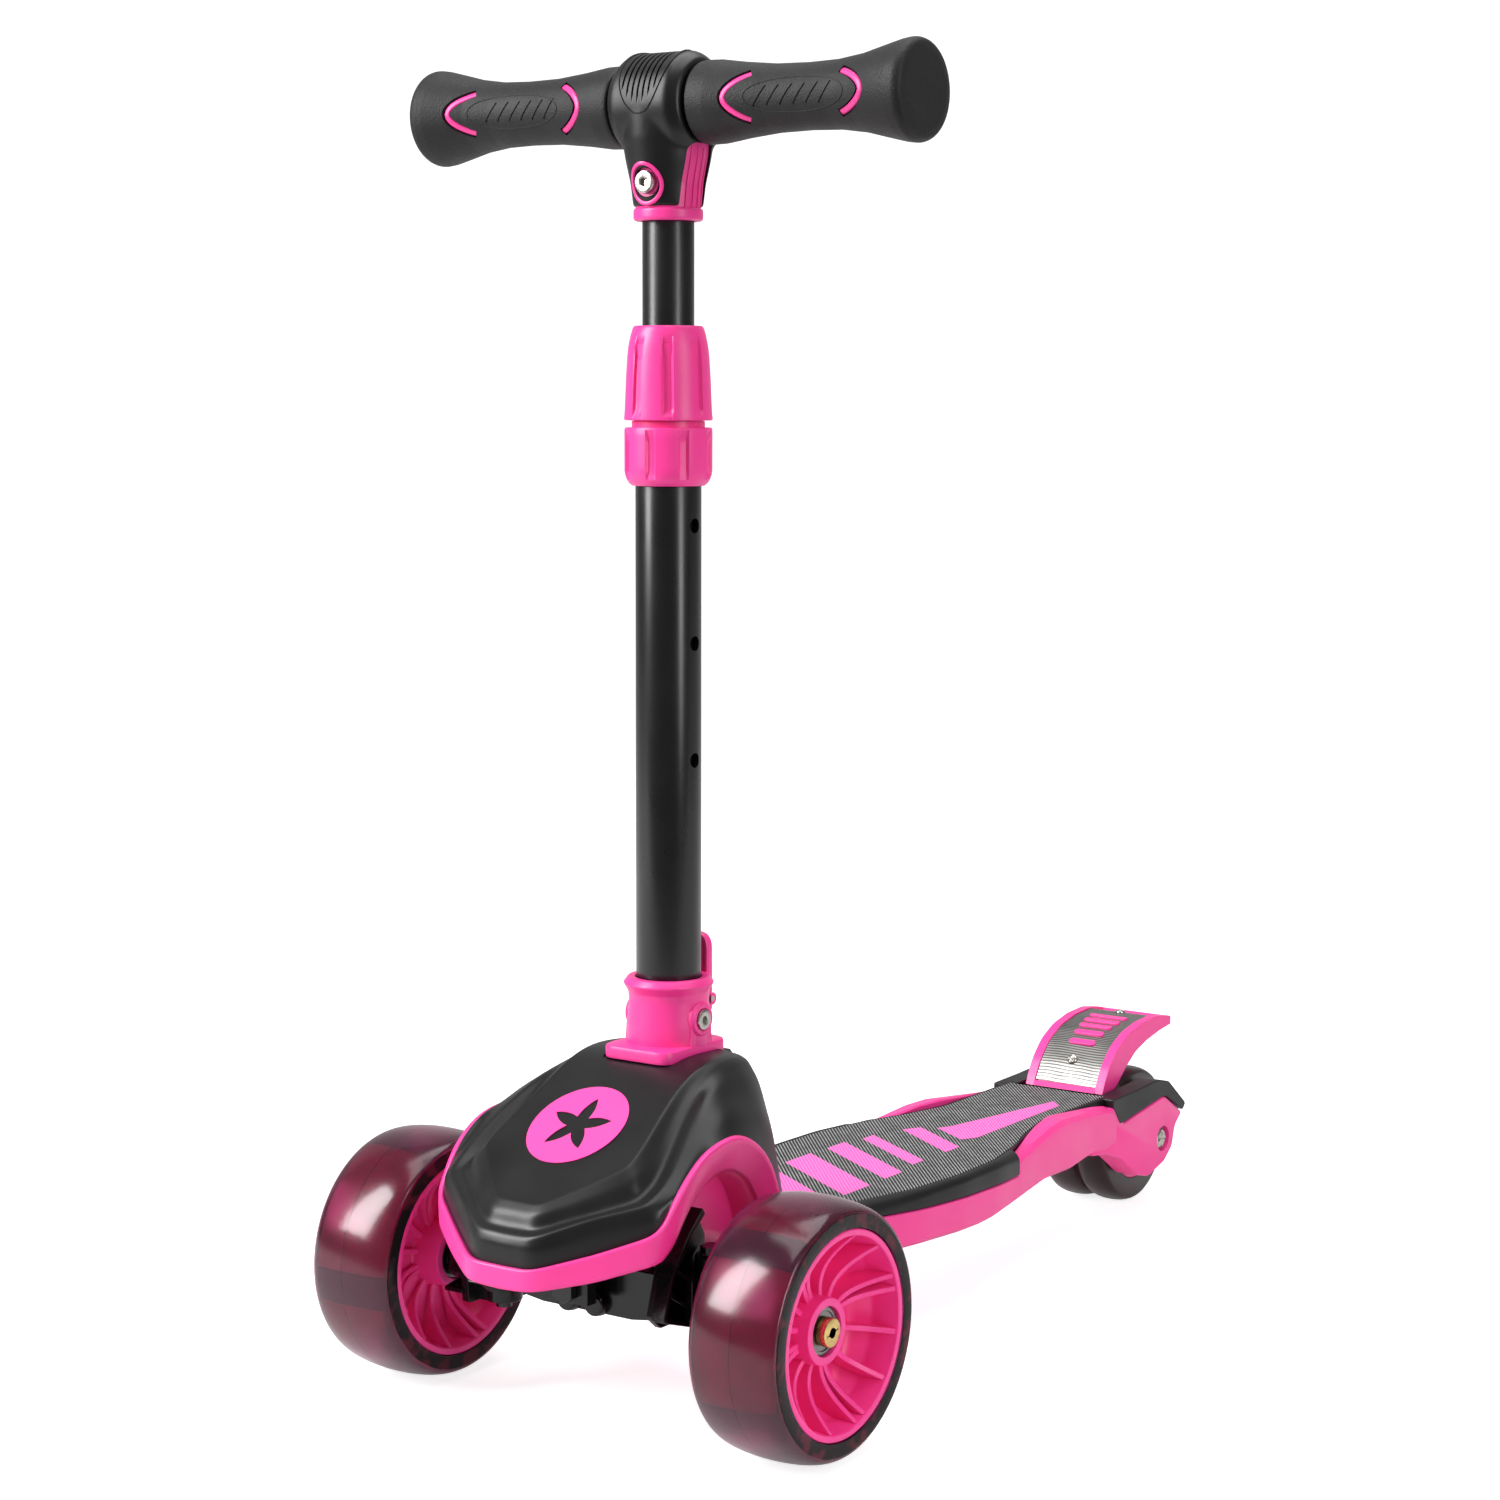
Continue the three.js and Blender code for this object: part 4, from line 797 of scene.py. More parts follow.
def knuckle(side, sign):
    """The steering knuckle, with a finned front between the hood's arch and the wheel."""
    bm = bmesh.new()
    fin = [(-15, 43, 2), (-16, 58, 6), (-13, 78, 6), (-5, 95, 3)]
    fin += [(1, 96, 2), (9, 80, 6), (14, 66, 4), (14, 43, 2)]
    prism(bm, fillet(fin, 3), "x", 71.5, 75.5)
    for k in range(4):
        z = 46 + 9.5 * k
        deep = [(-17 + 1.2 * k, z + 1.5), (10 - k, z + 6), (10 - k, z + 8.2), (-17 + 1.2 * k, z + 3.7)]
        prism(bm, fillet(deep, 0.8, 3), "x", 74, 85 - 1.5 * k)
    spine = [(-4, 44), (4, 44), (4, 86), (-1, 90), (-4, 84)]
    prism(bm, fillet(spine, 1.5, 3), "x", 74, 81)
    cone = [(0, 74), (15, 74), (13, 80), (11, 86), (9.5, 91), (0, 91)]
    lathe(bm, fillet(cone, 1, 3, closed=False), at=(0, 0, WHEEL.z), steps=48, closed=False)
    for z0, z1 in ((43.3, 51.6), (76.4, 85.6)):
        lathe(bm, fillet([(4.3, z0), (9, z0), (9, z1), (4.3, z1)], 1, 3), "z", (KINGPIN_X, 0, 0), 48)
        block(bm, (66, -8, z0 + 0.2), (73, 8, z1 - 0.2))
    block(bm, (57.5, 7, 43.4), (66.5, 36, 48))
    rod(bm, 2.5, 46, 56.8, "z", (KINGPIN_X, 32, 0), 24)
    to_side(bm, sign)
    node = f"knuckle_{side}"
    piece(f"steering_knuckle_{side}", bm, node, BLACK_GLOSS, node, bevel=0.5)


def beam():
    bm = bmesh.new()
    low, high = low_of("truck_beam"), high_of("truck_beam")
    section = [(low.x + 10, low.z + 5), (-26, low.z, 4), (26, low.z, 4), (high.x - 10, low.z + 5)]
    section += [(high.x - 10, high.z, 1), (low.x + 10, high.z, 1)]
    prism(bm, fillet(section, 3), "y", -15.5, 15.5)
    for x in (-9, 7):
        stud = fillet([(0, -20), (5.5, -20), (6.5, -14), (0, -14)], 1.5, 4, False)
        lathe(bm, stud, "y", (x, 0, low.z + 5), 32, False)
    for sign in (1, -1):
        eye = fillet([(4.3, low.z), (9, low.z), (9, high.z), (4.3, high.z)], 1, 3)
        lathe(bm, eye, "z", (sign * KINGPIN_X, 0, 0), 48)
        for y in (-9.5, 6.5):
            block(bm, (sign * 46 - 9, y, low.z + 2), (sign * 46 + 9, y + 3, high.z - 2))
        upright = [
            (-33, 61, 2), (-27, 80, 8), (-14, 97, 10), (-3, 107, 2), (1, 104, 3), (8, 92, 4), (9, 84, 3),
            (14, 72, 4), (13, 55, 2), (-26, 55, 3),
        ]
        prism(bm, fillet(upright, 3), "x", sign * 47.5, sign * 51)
        flange = [(-33, 61), (-27, 80), (-14, 97), (-3, 107), (-1, 104), (-12, 95), (-24.5, 79), (-30.5, 61)]
        prism(bm, flange, "x", sign * 50, sign * 58)
        for y0, z0, y1, z1 in ((-22, 84, -11, 76), (-27, 73, -11, 63), (-31, 62, -11, 55.5)):
            rib = [(y0, z0), (y1, z1), (y1, z1 - 2.6), (y0 - 1, z0 - 2.2)]
            prism(bm, rib, "x", sign * 50, sign * 58)
        cheek = [(-18, 91), (-12, 95), (-3, 103), (6, 91), (-9, 79)]
        prism(bm, fillet(cheek, 3), "x", sign * 50, sign * 52.5)
    piece("steering_beam", bm, "truck", BLACK_GLOSS, "truck_beam", bevel=0.6)


for side, sign in SIDES:
    knuckle(side, sign)
beam()


# ---------- hood ----------
# Stations round half of the hood, each a line of points from the raised panel down to the seam:
# the panel's edge, the step under it, its valley, the ledge's rim, the wall under the rim, the seam.
HOOD_STATIONS = [
    [(0, -65, 114.5), (0, -69, 110.5), (0, -71, 104.5), (0, -75.3, 101.5), (0, -77, 97), (0, -77, 88)],
    [
        (12, -65, 114.5), (13, -69, 110.5), (14, -71, 104.8), (16, -75.3, 102), (17, -76.8, 97),
        (17, -76.8, 88.3),
    ],
    [
        (27, -52, 122), (31, -55, 118), (33.5, -57.5, 111.5), (37, -61, 111), (40, -60.5, 105),
        (40, -60.5, 95.5),
    ],
    [
        (41, -38.5, 130), (46, -40, 125), (50, -42, 117), (57, -46, 117), (62, -44.5, 112),
        (62.5, -44.2, 104.5),
    ],
    [(41, -27, 136.5), (46, -27, 130), (51, -29, 122.5), (58, -32, 124), (64, -31, 122), (65, -30, 124.5)],
    [(38.5, -12, 145.5), (43, -12, 140), (48, -14, 134.5), (55, -16, 136), (61.5, -14, 135), (65, -14, 136)],
    [(36, 2, 153.5), (40, 2, 149), (44.5, 0, 145), (51, -1, 146.5), (59.5, 2, 143), (65, 2, 139)],
    [(35, 16, 161.5), (38, 16, 158.5), (41.5, 15, 155.5), (47.5, 14, 154.5), (59, 16, 148), (65, 15, 139.8)],
    [(35, 32, 165.5), (37.5, 33, 164.5), (40, 33, 162.5), (46, 33, 158), (58, 33, 146), (65, 33, 131)],
    [(34, 49, 165.5), (37, 50, 165), (40, 51, 163), (46, 50, 157), (57, 49, 140), (64.5, 46.5, 115)],
    [(31, 58, 165), (34, 61, 163.5), (37, 63, 161), (43, 62, 153), (55, 58, 130), (63.5, 54, 92)],
    [(28, 60, 165), (31, 63.5, 163.5), (34, 66, 161), (41, 66.5, 151), (53, 63, 122), (61.5, 58.5, 76.2)],
    [(22, 62, 165), (24, 66, 163), (27, 69.5, 159.5), (34, 74, 146), (42, 78, 118), (46, 84.6, 76)],
    [(8, 62.5, 165), (9, 67, 163), (10, 70.5, 159.5), (12, 75, 146), (14, 79, 118), (15, 84.8, 76)],
    [(0, 62.5, 165), (0, 67, 163), (0, 70.5, 159.5), (0, 75, 146), (0, 79, 118), (0, 84.8, 76)],
]
HOOD_WALL = 2.2
PANEL_RISE, PANEL_RUN = 54, 92
# The band's lower edge at the same stations; over the wheels its face leans inwards.
BAND_EDGE = [
    (0, -77, 77.7), (17, -76.8, 78.6), (40, -60.5, 83.3), (61.5, -44.8, 91), (62.5, -35.5, 97.5),
    (60, -23, 109.5),
    (55, -4, 118), (52, 14, 121.5), (52, 30, 119.5), (54, 40.5, 111), (56, 48, 93), (57, 52.5, 76.2),
]
ARCH_Y, ARCH_Z = 8, 72
LINER_FACE, LINER_BACK = 64, 52
LINER_STEPS = ((0, 1), (-0.6, 0.985), (-1.6, 0.965), (-8.2, 0.955), (-12.6, 0.95), (-13.4, 0.93))
# Where each stretch between two stations gets extra points, which keep its ends crisp.
EXTRA = {0: (0.55,), 1: (0.38, 0.62), 2: (0.36, 0.64), 3: (0.4,), 10: (0.6,), 11: (0.3, 0.7), 12: (0.3,)}


def supported(line):
    points = []
    for i, p in enumerate(line):
        points.append(Vector(p))
        if i + 1 < len(line):
            points += [Vector(p).lerp(Vector(line[i + 1]), t) for t in EXTRA.get(i, ())]
    return points


def hood():
    bm = bmesh.new()
    crease = bm.edges.layers.float.new("crease_edge")
    lines = []
    for row in range(6):
        half = supported([station[row] for station in HOOD_STATIONS])
        if row == 0:
            inner = [Vector((p.x * 0.9, p.y * 0.94 if p.y < 0 else p.y - 1.5, p.z)) for p in half]
            for p, edge in zip(inner, half):
                p.z = edge.z + (p.y - edge.y) * PANEL_RISE / PANEL_RUN if p.y < 20 else edge.z + 0.3
            lines.append(inner + [Vector((-p.x, p.y, p.z)) for p in reversed(inner[1:-1])])
        lines.append(half + [Vector((-p.x, p.y, p.z)) for p in reversed(half[1:-1])])
    rows = [lines[0], [a.lerp(b, 0.75) for a, b in zip(lines[0], lines[1])]]
    for line, after in zip(lines[1:], lines[2:]):
        rows += [line, [a.lerp(b, 0.5) for a, b in zip(line, after)]]
    rings = [wire(bm, line) for line in rows + [lines[-1]]]
    bridged(bm, rings)
    for ring, sharp in ((2, 0.2), (8, 0.15)):
        for i, vert in enumerate(rings[ring][0]):
            ahead = rings[ring][0][(i + 1) % len(rings[ring][0])]
            bm.edges.get((vert, ahead))[crease] = sharp
    # The panel inside its edge, joined straight across from side to side.
    top, count = rings[0][0], len(half)
    right = [top[0]] + list(reversed(top[count:])) + [top[count - 1]]
    for i in range(count - 1):
        corners = [top[i], top[i + 1], right[i + 1], right[i]]
        corners = [v for k, v in enumerate(corners) if v not in corners[:k]]
        bm.faces.new(corners)
    made = piece("hood", bm, "chassis", BLACK, "hood_cover", rounding=2, wall=HOOD_WALL)
    cutter = bmesh.new()
    outline = [(-20.8, 20.3), (20.8, 20.3), (20.8, 96), (-20.8, 96)]
    prism(cutter, fillet(outline, 8), "z", FOOT_Z - 0.4, FOOT_Z + 30)
    carved(made, cutter, "MANIFOLD")
    sharpened(made)


def hood_band():
    """The pink band under the hood: its upper edge is the hood's own lower edge."""
    bm = bmesh.new()
    seam = supported([station[5] for station in HOOD_STATIONS[: len(BAND_EDGE)]])
    edge = supported(BAND_EDGE)
    middle = [a.lerp(b, 0.5) + Vector((0.6 if a.x > 60 else 0, 0, 0)) for a, b in zip(seam, edge)]
    rings = []
    for half in (seam, middle, edge):
        line = [Vector((-p.x, p.y, p.z)) for p in reversed(half[1:])] + half
        rings.append(wire(bm, line, closed=False))
    bridged(bm, rings)
    piece("hood_band", bm, "chassis", PINK, "hood_trim", rounding=2, wall=2.6)


def arch_liners():
    """The dished pink walls inside the two arches, over the wheels."""
    for side, sign in SIDES:
        bm = bmesh.new()
        lines = []
        for inward, scale in LINER_STEPS:
            arch = []
            for x, y, z in BAND_EDGE[4:]:
                x = min(x, LINER_FACE) + inward if inward > -9 else LINER_BACK + inward
                arch.append((x, ARCH_Y + (y - ARCH_Y) * scale, ARCH_Z + (z - ARCH_Z) * scale))
            lines.append(wire(bm, arch, closed=False))
        bridged(bm, lines)
        bm.faces.new(lines[-1][0])
        to_side(bm, sign)
        piece(f"arch_liner_{side}", bm, "chassis", PINK, rounding=2, wall=1.2)


def emblem():
    """A plain disc with a star cut out of it, on the sloping panel."""
    bm = bmesh.new()
    steps = 60
    star = []
    for i in range(steps):
        a = TURN * i / steps
        spike = abs(((a / TURN * 5) % 1) * 2 - 1)
        star.append((5.6 + 11.4 * spike**1.35, a))
    lift = lambda r, a, z: (r * math.cos(a + math.pi / 2), r * math.sin(a + math.pi / 2), z)
    outer_r = 24.5
    loft(
        bm,
        [
            [lift(outer_r, a, 0) for _, a in star],
            [lift(outer_r, a, 0.35) for _, a in star],
            [lift(r, a, 0.35) for r, a in star],
            [lift(r, a, 0) for r, a in star],
        ],
        caps=False,
    )
    slope = math.atan2(PANEL_RISE, PANEL_RUN)
    height = 165.5 - 42 * PANEL_RISE / PANEL_RUN
    at = Matrix.Translation((-1, -20, height)) @ Matrix.Rotation(slope, 4, "X")
    moved(bm, bm.verts, at @ Matrix.Diagonal((1, 1.06, 1, 1)) @ Matrix.Translation((0, 0, 0.1)))
    piece("hood_emblem", bm, "chassis", EMBLEM)


hood()
hood_band()
arch_liners()
emblem()


# ---------- deck ----------
SHELL_PLAN = eased(
    [(60, 42), (150, 50), (187, 58), (226, 61), (263, 60), (300, 55), (345, 49), (400, 42.4), (432, 39.4)], 60
)
TRAY_PLAN = eased([(79, 42), (150, 50), (187, 58), (226, 61), (263, 60), (284, 57.5)], 60)
TRAY_REAR = eased([(287, 50.5), (294, 48.5), (322, 41), (355, 33.8), (370, 33.5), (432, 33.5)], 25)
MAT_PLAN = eased(
    [(92, 38), (150, 42), (187, 52), (226, 56), (263, 55), (300, 47), (322, 39), (355, 31), (428, 31)], 40
)
BAND_LOW = eased([(60, 67), (150, 67), (205, 64.4), (280, 62), (290, 62)], 40)
SHELL_LOW = eased(
    [(60, 44), (182, 45), (250, 43), (300, 45.5), (334, 47.5), (371, 45), (399, 46.5), (432, 41)], 30
)
SHOULDER_TOP = eased([(286, 70), (292, 71.5), (338, 77.5), (356, 78), (406, 73.5), (423, 71), (428, 67)], 12)
SHELL_ROOM = 65.6


def spread_of(start, end, count):
    return [start + (end - start) * i / (count - 1) for i in range(count)]


def deck_shell():
    """The pink underbody, whose sides climb over the mat's edge towards the rear."""
    bm = bmesh.new()
    stations = []
    for y in spread_of(60, 286, 30) + spread_of(287.5, 428, 34):
        w, low = value_at(SHELL_PLAN, y), value_at(SHELL_LOW, y)
        half = [(0, low), (w - 10, low), (w - 5, low + 0.8), (w - 1.6, low + 3.6), (w, low + 9)]
        if y < 287:
            top = value_at(BAND_LOW, y) - 0.3
            half += [(w, top - 2), (w, top - 0.6), (w - 0.5, top), (w - 2.5, top), (w - 3, top - 0.1)]
        else:
            top, inner = value_at(SHOULDER_TOP, y), value_at(TRAY_REAR, y) + 0.4
            half += [(w, top - 7), (w - 0.7, top - 3.4), (w - 3.2, top - 1)]
            half += [(inner + 1, top), (inner, top - 0.8)]
        half += [(half[-1][0], SHELL_ROOM), (0, SHELL_ROOM)]
        stations.append((y, half))
    section_loft(bm, stations)
    block(bm, (-28, -42.5, 88), (28, 78, 93.6))
    block(bm, (-28, 60.5, 44), (28, 78, 93))
    block(bm, (-12, 23, 59.2), (12, 30, 89))
    piece("deck_body", bm, "chassis", PINK, "deck_shell", crease=32)
    bm = bmesh.new()
    block(bm, (-12, -30, 59.2), (12, -23, 87.8))
    block(bm, (-30, -45, 87), (30, -22, 87.9))
    piece("lean_bracket", bm, "chassis", BLACK_GLOSS, bevel=1)


def deck_tray():
    bm = bmesh.new()
    stations = []
    for y in spread_of(79, 286, 30) + spread_of(287.2, 431, 34):
        xt = value_at(TRAY_PLAN, y) + 0.25 if y < 287 else value_at(TRAY_REAR, y)
        xm = value_at(MAT_PLAN, y) + 0.5
        low = value_at(BAND_LOW, y) if y < 287 else 66.2
        r = min(6.5, (xt - xm) * 0.82)
        half = [(0, 65.9), (xt - 8, 65.9), (xt - 4, low + 0.3), (xt - 0.8, low), (xt, low + 0.7)]
        for a in (0, 22, 45, 68, 90):
            turn = math.radians(a)
            half.append((xt - r + r * math.cos(turn), DECK_TOP - r + r * math.sin(turn)))
        half += [(xm + 0.4, DECK_TOP), (xm, DECK_TOP - 0.5), (xm, DECK_TOP - 1.8), (0, DECK_TOP - 1.8)]
        stations.append((y, half))
    section_loft(bm, stations)
    piece("deck_rim", bm, "chassis", TRAY, "deck_tray", crease=32)


def rear_wings():
    """Black covers over the ends of the two arms."""
    for side, sign in SIDES:
        bm = bmesh.new()
        outline = [
            (424, 70.5, 1), (432.5, 59.3, 1), (437, 59.2, 3), (488, 66, 14), (511.5, 52.6, 1.5),
            (515, 56.5, 2), (493, 73.4, 9), (479, 76.6, 16), (452, 75.4, 20), (424, 74.8, 1),
        ]
        prism(bm, fillet(outline, 3, 7), "x", 27.4, 39.7)
        to_side(bm, sign)
        piece(f"arm_cover_{side}", bm, "chassis", TRAY, bevel=2.2, bevel_steps=4, crease=50)


def rear_arms():
    for side, sign in SIDES:
        bm = bmesh.new()
        outline = [
            (400, 46.6, 0), (418, 44, 16), (435, 38, 14), (447, 30, 8), (456, 24, 7), (470, 20.6, 9),
            (489, 25.5, 9), (499, 33, 8), (502.5, 45, 9), (511, 51.5, 2), (488, 65.6, 12), (437, 58.8, 3),
            (432, 70, 0), (400, 70, 0),
        ]
        prism(bm, fillet(outline, 6, 6), "x", 24, 39.4)
        to_side(bm, sign)
        name = f"rear_arm_{side}"
        made = piece(name, bm, "chassis", PINK, bevel=1.6, bevel_steps=3, crease=50)
        cut = bmesh.new()
        recess = [(0, 36.6), (7.4, 36.6), (7.7, 42), (0, 42)]
        for hole in (recess, [(0, 20), (24.5, 20), (25, 27), (0, 27)]):
            lathe(cut, hole, at=(0, REAR.y, REAR.z), steps=64, closed=False)
        to_side(cut, sign)
        sharpened(carved(made, cut))


def cross_head(bm, radius, height, steps=40):
    """A pan screw head with a cross recess, facing +Z with its seat at 0."""
    dome = [(0, 0), (radius, 0), (radius * 0.97, height * 0.45), (radius * 0.8, height * 0.8)]
    dome += [(radius * 0.5, height * 0.97), (0, height)]
    made = lathe(bm, dome, "z", steps=steps, closed=False)
    for vert in made:
        arm = min(abs(vert.co.x), abs(vert.co.y))
        if arm < radius * 0.13 and vert.co.to_2d().length < radius * 0.62 and vert.co.z > height * 0.6:
            vert.co.z -= height * 0.45
    return made


def rear_axle():
    bm = bmesh.new()
    turn = Matrix.Translation((36.7, REAR.y, REAR.z)) @ facing((1, 0, 0))
    moved(bm, cross_head(bm, 6.1, 2.3), turn)
    washer = fillet([(3, 36.65), (7.1, 36.65), (7.1, 37.2), (3, 37.2)], 0.15, 2)
    lathe(bm, washer, at=(0, REAR.y, REAR.z), steps=48)
    rod(bm, 3.9, -36.4, 36.6, at=(0, REAR.y, REAR.z), steps=32)
    piece("rear_axle", bm, "chassis", NICKEL, "rear_axle_bolt")
    bm = bmesh.new()
    moved(bm, hex_nut(bm, 5.4), Matrix.Translation((-36.7, REAR.y, REAR.z)) @ facing((-1, 0, 0)))
    piece("rear_nut", bm, "chassis", NICKEL, "rear_axle_nut", bevel=0.4)


def deck_mat():
    bm = bmesh.new()
    half = [(value_at(MAT_PLAN, y), y) for y in spread_of(92, 428, 60)]
    outline = half + [(-x, y) for x, y in reversed(half)]
    prism(bm, outline, "z", DECK_TOP - 1.7, DECK_TOP + 0.05)
    piece("deck_mat", bm, "chassis", MAT, "grip_mat", bevel=0.3, crease=60)
    bm = bmesh.new()
    top = DECK_TOP + 0.06
    # Plain slanted bars, growing and shrinking along the deck, and a tapering tail.
    bars = ((104, 6, 19), (122, 11, 24), (145, 17, 28), (175, 24, 31), (214, 17, 30), (245, 11, 26))
    for start, width, reach in bars:
        slant = reach * 0.62
        bar = [(-reach, start + slant), (-reach, start + slant + width), (reach, start + width - slant)]
        prism(bm, bar + [(reach, start - slant)], "z", top, top + 0.12)
    prism(bm, [(-20, 292), (-14, 302), (26, 276), (26, 262)], "z", top, top + 0.12)
    prism(bm, [(-6, 306), (-2, 314), (14, 400), (22, 392), (23, 300), (18, 291)], "z", top, top + 0.12)
    piece("deck_bars", bm, "chassis", PRINT)


deck_shell()
deck_tray()
rear_wings()
rear_arms()
rear_axle()
deck_mat()


# ---------- foot brake ----------
FENDER_TOP = eased(
    [
        (436.5, 72.5), (438.5, 78), (445, 88.5), (455, 98), (469, 104.5), (486, 108), (504, 109),
        (521, 106.3),
    ],
    30,
)


def offset_line(line, distance):
    """Moves an open side line towards its right by a distance."""
    made = []
    for i, point in enumerate(line):
        a, b = line[max(i - 1, 0)], line[min(i + 1, len(line) - 1)]
        way = Vector((b[0] - a[0], b[1] - a[1])).normalized()
        made.append((point[0] + way.y * distance, point[1] - way.x * distance))
    return made


def between(line, start, end):
    return [p for p in line if start <= p[0] <= end]


def foot_brake():
    under = eased(
        [
            (521, 101.4), (506, 99.5), (491, 96.5), (477, 92), (465, 84.5), (454, 75.5), (446, 72.2),
            (437, 71.2),
        ],
        16,
    )
    bm = bmesh.new()
    seat = offset_line(FENDER_TOP, 1.7)
    prism(bm, between(seat, 0, 519) + under, "x", -20.6, 20.6)
    for sign in (1, -1):
        prism(bm, FENDER_TOP + under, "x", sign * 19.9, sign * 25.5)
    tip = [p for p in FENDER_TOP if p[0] > 513]
    prism(bm, tip + [(521, 101.4), (512, 100.3)], "x", -20.4, 20.4)
    prism(bm, [(436.2, 71.4), (436.2, 73.6), (438.6, 76.4), (440.8, 74), (440, 71.4)], "x", -20.4, 20.4)
    for a, b in ((-21.8, -7.4), (7.4, 21.8)):
        rod(bm, 4, a, b, at=(0, BRAKE.y, BRAKE.z), steps=32)
    piece("fender", bm, "brake", PINK, "brake_fender", bevel=1.1, bevel_steps=3, crease=40)
    bm = bmesh.new()
    line = between(FENDER_TOP, 438.2, 516)
    prism(bm, offset_line(line, 0.7) + offset_line(line, 1.6)[::-1], "x", -19.8, 19.8)
    piece("brake_tread", bm, "brake", SWIRL, "brake_plate", crease=50)
    bm = bmesh.new()
    bars = ((456.5, 8.5), (464.8, 9.6), (472.6, 10.6), (480.4, 11.6), (488.4, 12.4))
    for y, half in bars:
        i = min(range(len(FENDER_TOP)), key=lambda k: abs(FENDER_TOP[k][0] - y))
        a, b = FENDER_TOP[i - 1], FENDER_TOP[i + 1]
        z = value_at(FENDER_TOP, y)
        lean = math.atan2(b[1] - a[1], b[0] - a[0])
        pill = fillet([(-half, -2.1), (half, -2.1), (half, 2.1), (-half, 2.1)], 2.05, 6)
        verts = prism(bm, pill, "z", -1.6, 0.5)
        moved(bm, verts, Matrix.Translation((1.0, y, z)) @ Matrix.Rotation(lean, 4, "X"))
    piece("brake_bars", bm, "brake", PINK, bevel=0.6, bevel_steps=3, crease=50)
    for name, y in (("lower", 446.5), ("upper", 505)):
        bm = bmesh.new()
        z = value_at(FENDER_TOP, y)
        lean = math.atan2(value_at(FENDER_TOP, y + 2) - value_at(FENDER_TOP, y - 2), 4)
        at = Matrix.Translation((0, y, z)) @ Matrix.Rotation(lean, 4, "X") @ Matrix.Translation((0, 0, -0.75))
        moved(bm, cross_head(bm, 3.1, 1.5, 32), at)
        piece(f"screw_{name}", bm, "brake", NICKEL, f"brake_screw_{name}")


foot_brake()


# ---------- steering column ----------
COLUMN = (0, COLUMN_Y, 0)
LOWER_RADII = (13.7, 15.5)
UPPER_RADII = (10.3, 12.1)
ADJUSTING_HOLES = (414.5, 359.5, 304.5)


def tube(bm, radii, low, high):
    inner, outer = radii
    wall = fillet([(inner, low), (outer, low), (outer, high), (inner, high)], 0.3, 2)
    lathe(bm, wall, "z", COLUMN)


def tubes():
    bm = bmesh.new()
    tube(bm, LOWER_RADII, TUBE_BOTTOM, TUBE_TOP)
    made = piece("outer_tube", bm, "stem", LOWER_COAT, "lower_tube")
    cut = bmesh.new()
    for z in ADJUSTING_HOLES:
        rod(cut, 3.5, 6, 20, at=(0, COLUMN_Y, z), steps=32)
    sharpened(carved(made, cut))
    bm = bmesh.new()
    tube(bm, UPPER_RADII, low_of("upper_tube").z, high_of("upper_tube").z)
    piece("inner_tube", bm, "bar", UPPER_COAT, "upper_tube")


def collar_and_nut():
    bm = bmesh.new()
    outer = [(17, 0), (18.3, 1), (19.6, 3), (20.3, 5), (20.6, 7), (20.6, 10), (20.6, 13), (20.6, 17)]
    outer += [(20.6, 20), (20.6, 23), (20.6, 26), (20.2, 27), (17.1, 27.1), (17.1, 30), (16.4, 30)]
    outer += [(16.4, 60), (12.6, 60)]
    inner = [(12.6, 26), (15.8, 25.5), (15.8, 0.4)]
    profile = [(r, COLLAR_Z + z, True) for r, z in outer] + [(r, COLLAR_Z + z, False) for r, z in inner]
    fluted(bm, profile, 8, math.radians(12), 1.6, 5.2, COLLAR_Z + 3.5, COLLAR_Z + 25, COLUMN)
    piece("collar", bm, "stem", PINK, "collar_ring", crease=32)
    bm = bmesh.new()
    outer = [(20.2, 0.3), (20.7, 0.7), (20.7, 2), (20.6, 4), (20.5, 6), (20.3, 10), (20.1, 15), (19.9, 20)]
    outer += [(19.6, 25), (19.3, 30), (18.9, 34), (18.4, 37), (17.8, 39), (17.2, 41), (16.6, 43), (15.8, 44)]
    profile = [(r, NUT_Z + z, True) for r, z in outer]
    profile += [(12.7, NUT_TOP, False), (12.7, NUT_TOP - 8, False), (17.8, NUT_TOP - 8.5, False)]
    profile += [(17.8, NUT_Z + 0.3, False)]
    fluted(bm, profile, 8, math.radians(35), 1.6, 5.8, NUT_Z + 2.2, NUT_Z + 38.5, COLUMN)
    piece("twist_nut", bm, "clamp_nut", PINK, "clamp_nut", crease=32)


